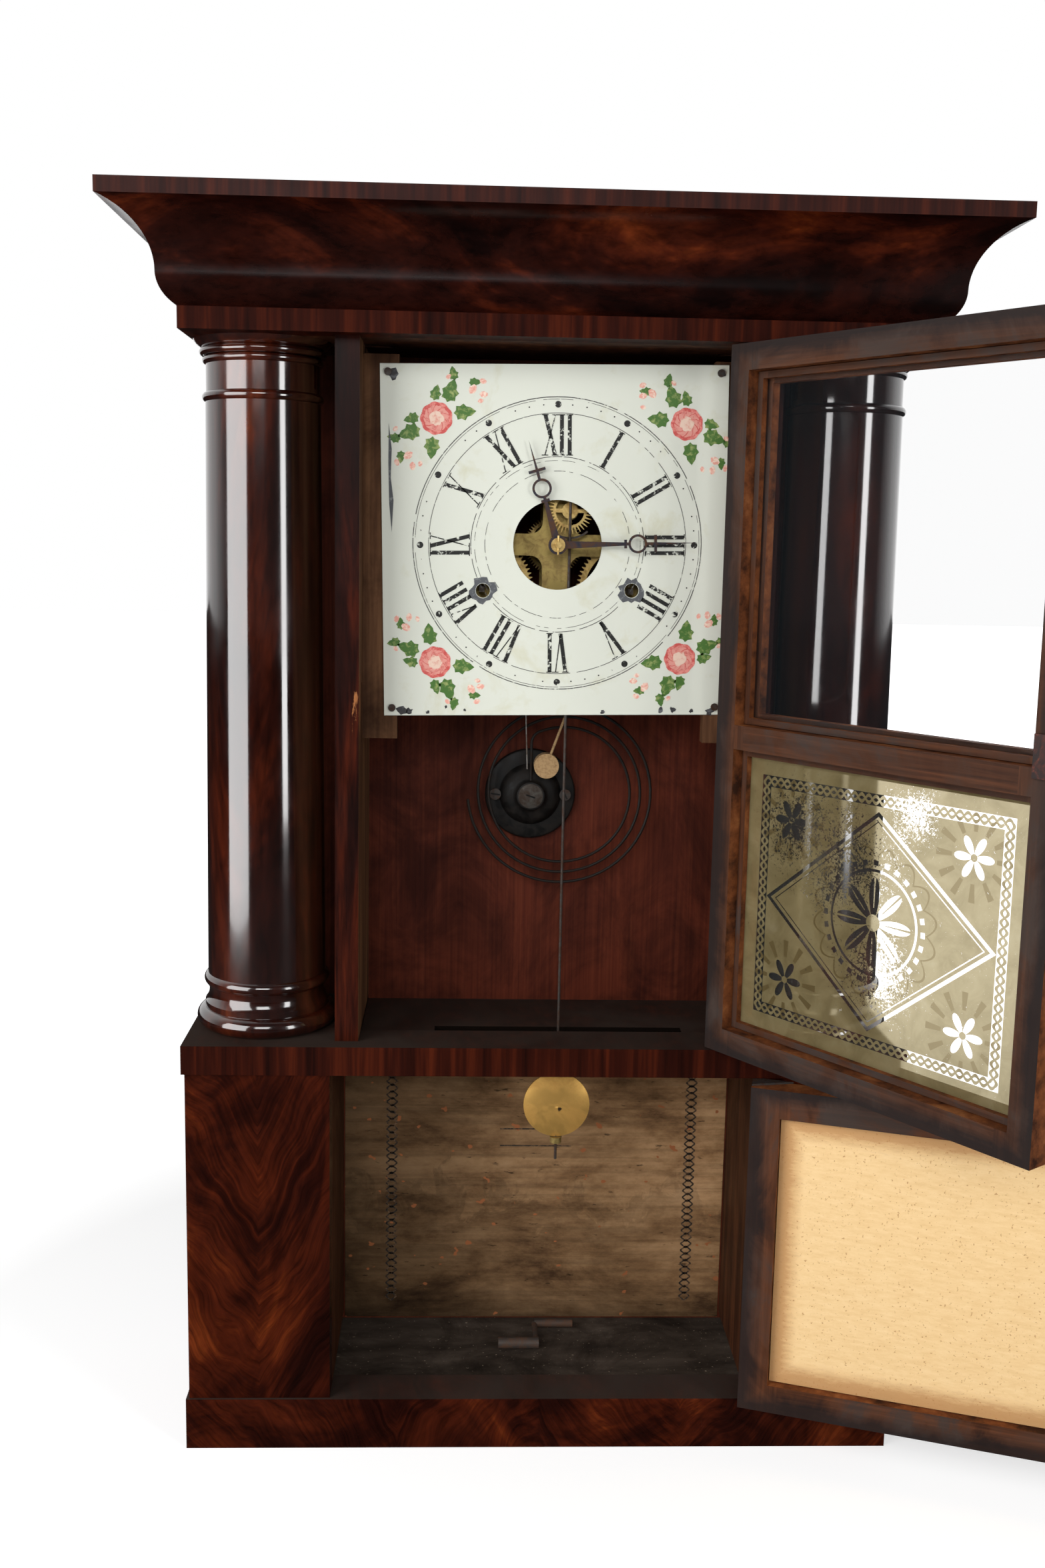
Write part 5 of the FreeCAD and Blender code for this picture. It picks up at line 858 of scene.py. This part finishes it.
def dial_art():
    """Rings, dots, numerals, rose sprays and chips of the painted dial, on its tilted plane."""
    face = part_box("dial_plate")[0].y
    cosine, sine = math.cos(DIAL_TILT), math.sin(DIAL_TILT)

    def draw(name, polygons, material, level=0):
        def on_dial(u, v, lift=0.0):
            return Vector((
                MM * (DIAL_AXIS[0] + u * cosine - v * sine), face - lift - level * PAINT_STEP,
                MM * (DIAL_AXIS[1] + v * cosine + u * sine)))

        polygon_piece(name, polygons, "case", material, on_dial)

    black = paint("dial_black", (0.012, 0.012, 0.011), DIAL_GROUND, 0.56, 0.61, 0.5, 330)
    line_black = paint("dial_line", (0.045, 0.043, 0.040), DIAL_GROUND, 0.56, 0.66, 0.5, 300)
    rose_red = paint("rose_red", (0.56, 0.085, 0.075), (0.74, 0.27, 0.23), 0.45, 0.62, 0.5, 300)
    rose_pale = paint("rose_pale", (0.74, 0.34, 0.27), (0.82, 0.66, 0.54), 0.45, 0.60, 0.5, 420)
    rose_light = paint("rose_light", (0.70, 0.30, 0.25), (0.56, 0.13, 0.11), 0.50, 0.66, 0.5, 300)
    rose_cream = paint("rose_cream", (0.76, 0.56, 0.45), (0.66, 0.28, 0.22), 0.50, 0.66, 0.5, 340)
    leaf_green = paint("leaf_green", (0.060, 0.150, 0.026), (0.30, 0.36, 0.12), 0.50, 0.66, 0.5, 260)
    bare_metal = paint("bare_metal", (0.035, 0.034, 0.036), (0.11, 0.115, 0.125), 0.5, 0.62, 0.6, 260)
    halo_grey = paint("halo_grey", (0.085, 0.090, 0.098), (0.24, 0.25, 0.25), 0.54, 0.70, 0.7, 380)

    lines = []
    for ring in DIAL_RINGS:
        lines += ring_strips(*ring)
    draw("dial_rings", lines, line_black)
    dots = []
    for minute in range(60):
        angle = math.radians(6 * minute)
        place = (DOT_RING * math.sin(angle), DOT_RING * math.cos(angle))
        if minute % 5 == 0:
            dots.append(circle(HOUR_DOT, 16, place))
        elif random.random() < DOTS_KEPT:
            dots.append(circle(MINUTE_DOT, 8, place))
    draw("dial_dots", dots, black)
    strokes = []
    for hour, word in enumerate(HOURS):
        strokes += numeral(word, hour)
    draw("dial_numerals", strokes, black, 1)

    leaves, buds, bases, petals, swirls, hearts = [], [], [], [], [], []
    for place, corner in ROSES:
        leaves += flank_shapes(LEAF, SPRAY_LEAVES, place, corner)
        buds += flank_shapes(BUD, SPRAY_BUDS, place, corner)
        bases.append(scalloped(ROSE_RADIUS, place))
        petals.append(scalloped(ROSE_RADIUS - ROSE_RIM, place))
        swirls += rose_swirl(place)
        hearts.append(circle(ROSE_HEART, 18, place, 0.16))
    draw("dial_leaves", leaves, leaf_green)
    draw("dial_buds", buds, rose_pale, 1)
    draw("dial_rose_bases", bases, rose_red, 1)
    draw("dial_rose_petals", petals, rose_light, 2)
    draw("dial_rose_swirls", swirls, rose_red, 3)
    draw("dial_rose_hearts", hearts, rose_cream, 4)

    halos = []
    for side in (-1, 1):
        place = (WINDING_HOLE[0] * side, WINDING_HOLE[1])
        outer = [HALO_LEAST + HALO_SPREAD * random.random() for _ in range(HALO_STRIPS)]
        for index in range(HALO_STRIPS):
            ends = (outer[index], outer[(index + 1) % HALO_STRIPS])
            halos.append(ring_piece(place, HOLE_RADIUS, ends, index, HALO_STRIPS))
    draw("dial_worn_halos", halos, halo_grey, 1)
    draw("dial_chips", [circle(radius, 11, place, 0.35) for radius, place in CHIPS], bare_metal, 1)
    draw("dial_streak", [STREAK], halo_grey, 1)


dial_art()


LABEL_CHAINS = (-105, 113.5)
CHAIN_FOOT = 44
CHAIN_HEAD = 254
CHAIN_PITCH = 5.2
CHAIN_STROKE = 1.1
# Half width and half height of a link
LINK_HALF = (4, 3.4)
# Each rule: left end, right end, height and width
LABEL_RULES = [(-26, 26, 178, 1.0), (-26, 26, 165, 1.0), (-70, 78, 224, 0.7), (-70, 78, 221.5, 1.8)]


def label_print():
    """Chain borders and plain rules on the paper label."""
    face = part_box("paper_label")[0].y
    ink = paint("label_ink", (0.022, 0.018, 0.014), (0.15, 0.085, 0.045), 0.48, 0.62, 0.85, 330)
    strokes = [bar((left, height), (right, height), width) for left, right, height, width in LABEL_RULES]
    for middle in LABEL_CHAINS:
        for index in range(int((CHAIN_HEAD - CHAIN_FOOT) / CHAIN_PITCH)):
            foot = CHAIN_FOOT + CHAIN_PITCH * index
            waist = foot + LINK_HALF[1]
            tips = [
                (middle, foot), (middle + LINK_HALF[0], waist), (middle, foot + 2 * LINK_HALF[1]),
                (middle - LINK_HALF[0], waist)]
            strokes += [bar(tips[turn], tips[(turn + 1) % 4], CHAIN_STROKE) for turn in range(4)]

    def on_label(u, v, lift=0.0):
        return Vector((u * MM, face - lift, v * MM))

    polygon_piece("label_print", strokes, "case", ink, on_label)


label_print()


def join_rings(work, rings):
    """Faces between rings of corners, closed at both ends."""
    count = len(rings[0])
    for first, second in zip(rings, rings[1:]):
        for index in range(count):
            after = (index + 1) % count
            work.faces.new((first[index], first[after], second[after], second[index]))
    work.faces.new(rings[0])
    work.faces.new(rings[-1])


LATHE_STEPS = 72
SHARP_EDGE = math.radians(40)


def lathe(name, profile, centre, body, material):
    """A round piece about an axis along Y: profile is (radius, y) in millimetres, centre is (x, z)."""
    work = bmesh.new()
    rings = []
    for radius, depth in profile:
        spots = [polar(centre, radius, 2 * math.pi * index / LATHE_STEPS) for index in range(LATHE_STEPS)]
        rings.append([work.verts.new((MM * across, MM * depth, MM * up)) for across, up in spots])
    join_rings(work, rings)
    piece = mesh_piece(name, work, material)
    piece.data.shade_smooth()
    piece.data.set_sharp_from_angle(angle=SHARP_EDGE)
    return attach(piece, body)


def wire_curve(name, points, radius, body, material, order=None):
    """A round wire along points in metres: straight between them, or a smooth line of that order."""
    curve = bpy.data.curves.new(name, "CURVE")
    curve.dimensions = "3D"
    curve.bevel_depth = radius
    curve.bevel_resolution = 4
    curve.use_fill_caps = True
    spline = curve.splines.new("NURBS" if order else "POLY")
    spline.points.add(len(points) - 1)
    for point, place in zip(spline.points, points):
        point.co = (*place, 1)
    if order:
        spline.order_u = order
        spline.use_endpoint_u = True
        spline.resolution_u = 16
    curve.materials.append(material)
    piece = bpy.data.objects.new(name, curve)
    bpy.context.scene.collection.objects.link(piece)
    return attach(piece, body)


GONG_CENTRE = (-9.4, 427)
GONG_BACK = 54.5
# Outline of the cast base: radius and rise from its back
GONG_PROFILE = [
    (31.7, 0), (31.7, 3.2), (31.2, 4.0), (30.4, 4.3), (21.6, 4.6), (21.0, 5.4), (20.2, 7.4), (18.4, 9.4),
    (15.4, 11.0), (12.6, 12.0), (11.0, 13.0), (10.2, 14.4), (9.6, 15.4), (9.0, 15.6)]
BOSS_PROFILE = [(8.6, 39.2), (8.6, 38.9), (8.1, 38.6)]
# Each slotted head: place across, depth of its face and turn of its slot
SLOTTED_HEADS = [(-33.9, 46.5, 8), (15.1, 46.5, 63), (GONG_CENTRE[0], 38.5, 18)]
SLOT_HALF = 3.3
SLOT_WIDTH = 1.1
SLOT_LIFT = 0.02
COIL_CENTRE = (13.6, 429.2)
COIL_START_RADIUS = 46.3
COIL_PITCH = 7.3
COIL_TURN = 1006
COIL_BEND = 9
COIL_DEPTH = 42
WIRE_RADIUS = 1.0
STEM_FOOT = 434
BEND_STEPS = 12
QUARTER_STEPS = 15


def gong():
    """Cast base with slotted screws, and the coil: a stem, a bend, then quarter turns of growing radius."""
    boss = metal("gong_boss", (0.080, 0.073, 0.064), (0.045, 0.030, 0.022), 0.5, 160, 0.5)
    profile = [(radius, GONG_BACK - rise) for radius, rise in GONG_PROFILE]
    base = lathe("gong_base_turned", profile, GONG_CENTRE, "case", cast_black)
    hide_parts("gong_base")
    lathe("gong_boss", BOSS_PROFILE, GONG_CENTRE, "case", boss)
    stroke = bar((-SLOT_HALF, 0), (SLOT_HALF, 0), SLOT_WIDTH)
    for index, (across, depth, turn) in enumerate(SLOTTED_HEADS):
        slot = turned_outline(stroke, turn, (across, GONG_CENTRE[1]))

        def on_head(u, v, lift=0.0, depth=depth):
            return Vector((u * MM, (depth - SLOT_LIFT) * MM - lift, v * MM))

        polygon_piece(f"screw_slot_{index}", [slot], "case", cast_black, on_head)

    reach = COIL_START_RADIUS - COIL_BEND
    angle = math.acos((GONG_CENTRE[0] - COIL_CENTRE[0] + COIL_BEND) / reach)
    bend_centre = polar(COIL_CENTRE, reach, angle)
    line = [(GONG_CENTRE[0], STEM_FOOT)]
    for step in range(BEND_STEPS + 1):
        line.append(polar(bend_centre, COIL_BEND, math.pi + (angle - math.pi) * step / BEND_STEPS))
    centre = COIL_CENTRE
    radius = COIL_START_RADIUS
    left = COIL_TURN
    while left > 0:
        turn = min(left, 90)
        for step in range(1, QUARTER_STEPS + 1):
            line.append(polar(centre, radius, angle - math.radians(turn) * step / QUARTER_STEPS))
        left -= turn
        angle -= math.radians(turn)
        centre = polar(centre, -COIL_PITCH / 4, angle)
        radius += COIL_PITCH / 4
    points = [(MM * across, MM * COIL_DEPTH, MM * up) for across, up in line]
    coil = wire_curve("gong_wire", points, WIRE_RADIUS * MM, "case", gong_steel)
    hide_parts("gong_coil")


gong()

CORD_RADIUS = 1.0
TWIST_STEP = 0.7
TWIST_CORNERS = 15
# Route over the pulley to the drum on each side: distance from the column axis in the cord's plane, height
CORD_TURNS = {"left": 6.094, "right": 173.729}
CORD_ROUTES = {
    "left": [(0, 755), (0, 765.3), (19.4, 771.4), (31.1, 754.7), (154.6, 580.4)],
    "right": [(0, 755), (0, 765.3), (19.6, 771.3), (31.2, 754.5), (150.7, 580.2)]}
DROP_FOOT = 651.5


def cord_tube(name, axis, foot, head):
    """An upright cord with three twisted strands, as one mesh between two heights."""
    work = bmesh.new()
    rings = []
    for index in range(int((head - foot) / TWIST_STEP) + 2):
        height = min(foot + TWIST_STEP * index, head)
        ring = []
        for turn in range(TWIST_CORNERS):
            angle = 2 * math.pi * turn / TWIST_CORNERS
            reach = CORD_RADIUS * (0.86 + 0.14 * math.cos(3 * angle - height))
            across, depth = polar(axis, reach, angle)
            ring.append(work.verts.new((MM * across, MM * depth, MM * height)))
        rings.append(ring)
    join_rings(work, rings)
    return mesh_piece(name, work, cord_fibre)


def weight_cords():
    """Cords from each drum over its pulley, and down inside its column to the weight."""
    for name, side, weight in (("left", -1, "weight_l"), ("right", 1, "weight_r")):
        turn = math.radians(CORD_TURNS[name])
        axis = (side * COLUMN_AXIS[0], COLUMN_AXIS[1])
        points = [Vector((*polar(axis, along, turn), up)) * MM for along, up in CORD_ROUTES[name]]
        run = wire_curve(f"cord_run_{name}", points, CORD_RADIUS * MM, "case", cord_fibre, 3)
        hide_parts("cord_runs")
        top = CORD_ROUTES[name][0][1]
        drop = cord_tube(f"cord_down_{name}", axis, DROP_FOOT, top)
        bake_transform(drop)
        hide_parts(f"cord_drop_{name}")


weight_cords()

TRIP_WIRE = [(-14.2, 40, 500), (-13.6, 40, 478), (-12.6, 40, 458), (-12.2, 40, 446)]
TRIP_RADIUS = 0.45
trip_points = [Vector(place) * MM for place in TRIP_WIRE]
wire_curve("trip_wire", trip_points, TRIP_RADIUS * MM, "case", bright_wire, 3)


def area_light(name, place, target, size, power):
    """A lamp with a lit rectangle that faces its target."""
    data = bpy.data.lights.new(name, "AREA")
    data.shape = "RECTANGLE"
    data.size, data.size_y = size
    data.energy = power
    light = bpy.data.objects.new(name, data)
    light.location = place
    light.rotation_euler = (Vector(target) - Vector(place)).to_track_quat("-Z", "Y").to_euler()
    bpy.context.scene.collection.objects.link(light)


AMBIENT = 0.14
GLOSS_FRONT = 0.05
# Where a glossy surface sees the backdrop turn from dark to white, from the front to the back
GLOSS_FADE = (-0.35, 0.25)
FLOOR_REACH = 12
FLOOR_FADE = (0.45, 1.1)
FLOOR_GLOW = 0.58
FLOOR_WHITE = (0.72, 0.72, 0.72)
FLOOR_IN_GLOSS = (0.06, 0.06, 0.06)
# Each lamp: name, place, target, width and height, watts
LAMPS = [
    ("left_softbox", (-1.22, -0.95, 0.65), (-0.05, 0, 0.5), (1.1, 1.5), 25),
    ("right_softbox", (1.08, -1.28, 0.64), (0, 0, 0.5), (0.33, 1.05), 8),
    ("top_softbox", (-0.25, -2.3, 1.4), (0, 0, 0.55), (1.0, 0.8), 16)]


def add_stage():
    """White floor and world for the camera, with soft light for everything else."""
    world = bpy.data.worlds.new("studio")
    bpy.context.scene.world = world
    sky = Graph(world)
    rays = sky.node("ShaderNodeLightPath")
    seen = sky.math("MAXIMUM", rays.outputs["Is Camera Ray"], rays.outputs["Is Transmission Ray"])
    toward = sky.part(sky.node("ShaderNodeTexCoord").outputs["Generated"], "Y")
    glossy = sky.node("ShaderNodeMix")
    glossy.inputs["A"].default_value = AMBIENT
    sky.put(glossy.inputs["Factor"], rays.outputs["Is Glossy Ray"])
    sky.put(glossy.inputs["B"], sky.fade(toward, GLOSS_FADE, GLOSS_FRONT))
    ground = sky.tree.nodes["Background"]
    sky.put(ground.inputs["Strength"], sky.math("MAXIMUM", seen, glossy.outputs[0]))
    ground.inputs["Color"].default_value = (1, 1, 1, 1)

    mesh = bpy.data.meshes.new("floor")
    reach = FLOOR_REACH
    corners = [(-reach, -reach, 0), (reach, -reach, 0), (reach, reach, 0), (-reach, reach, 0)]
    mesh.from_pydata(corners, [], [(0, 1, 2, 3)])
    floor = bpy.data.objects.new("floor", mesh)
    bpy.context.scene.collection.objects.link(floor)
    shade = Shader("floor_white")
    rays = shade.node("ShaderNodeLightPath")
    away = shade.fade(shade.measure("LENGTH", shade.place).socket, FLOOR_FADE)
    seen = shade.math("MAXIMUM", rays.outputs["Is Camera Ray"], rays.outputs["Is Transmission Ray"])
    glow = shade.math("MULTIPLY", seen, shade.math("ADD", away, FLOOR_GLOW))
    mesh.materials.append(shade.set(
        base_color=shade.mix(rays.outputs["Is Glossy Ray"], FLOOR_WHITE, FLOOR_IN_GLOSS),
        roughness=0.9, specular_ior_level=0.0, emission_color=(1, 1, 1), emission_strength=glow))

    for lamp in LAMPS:
        area_light(*lamp)


add_camera()
add_stage()
bpy.context.scene.view_settings.view_transform = "Standard"
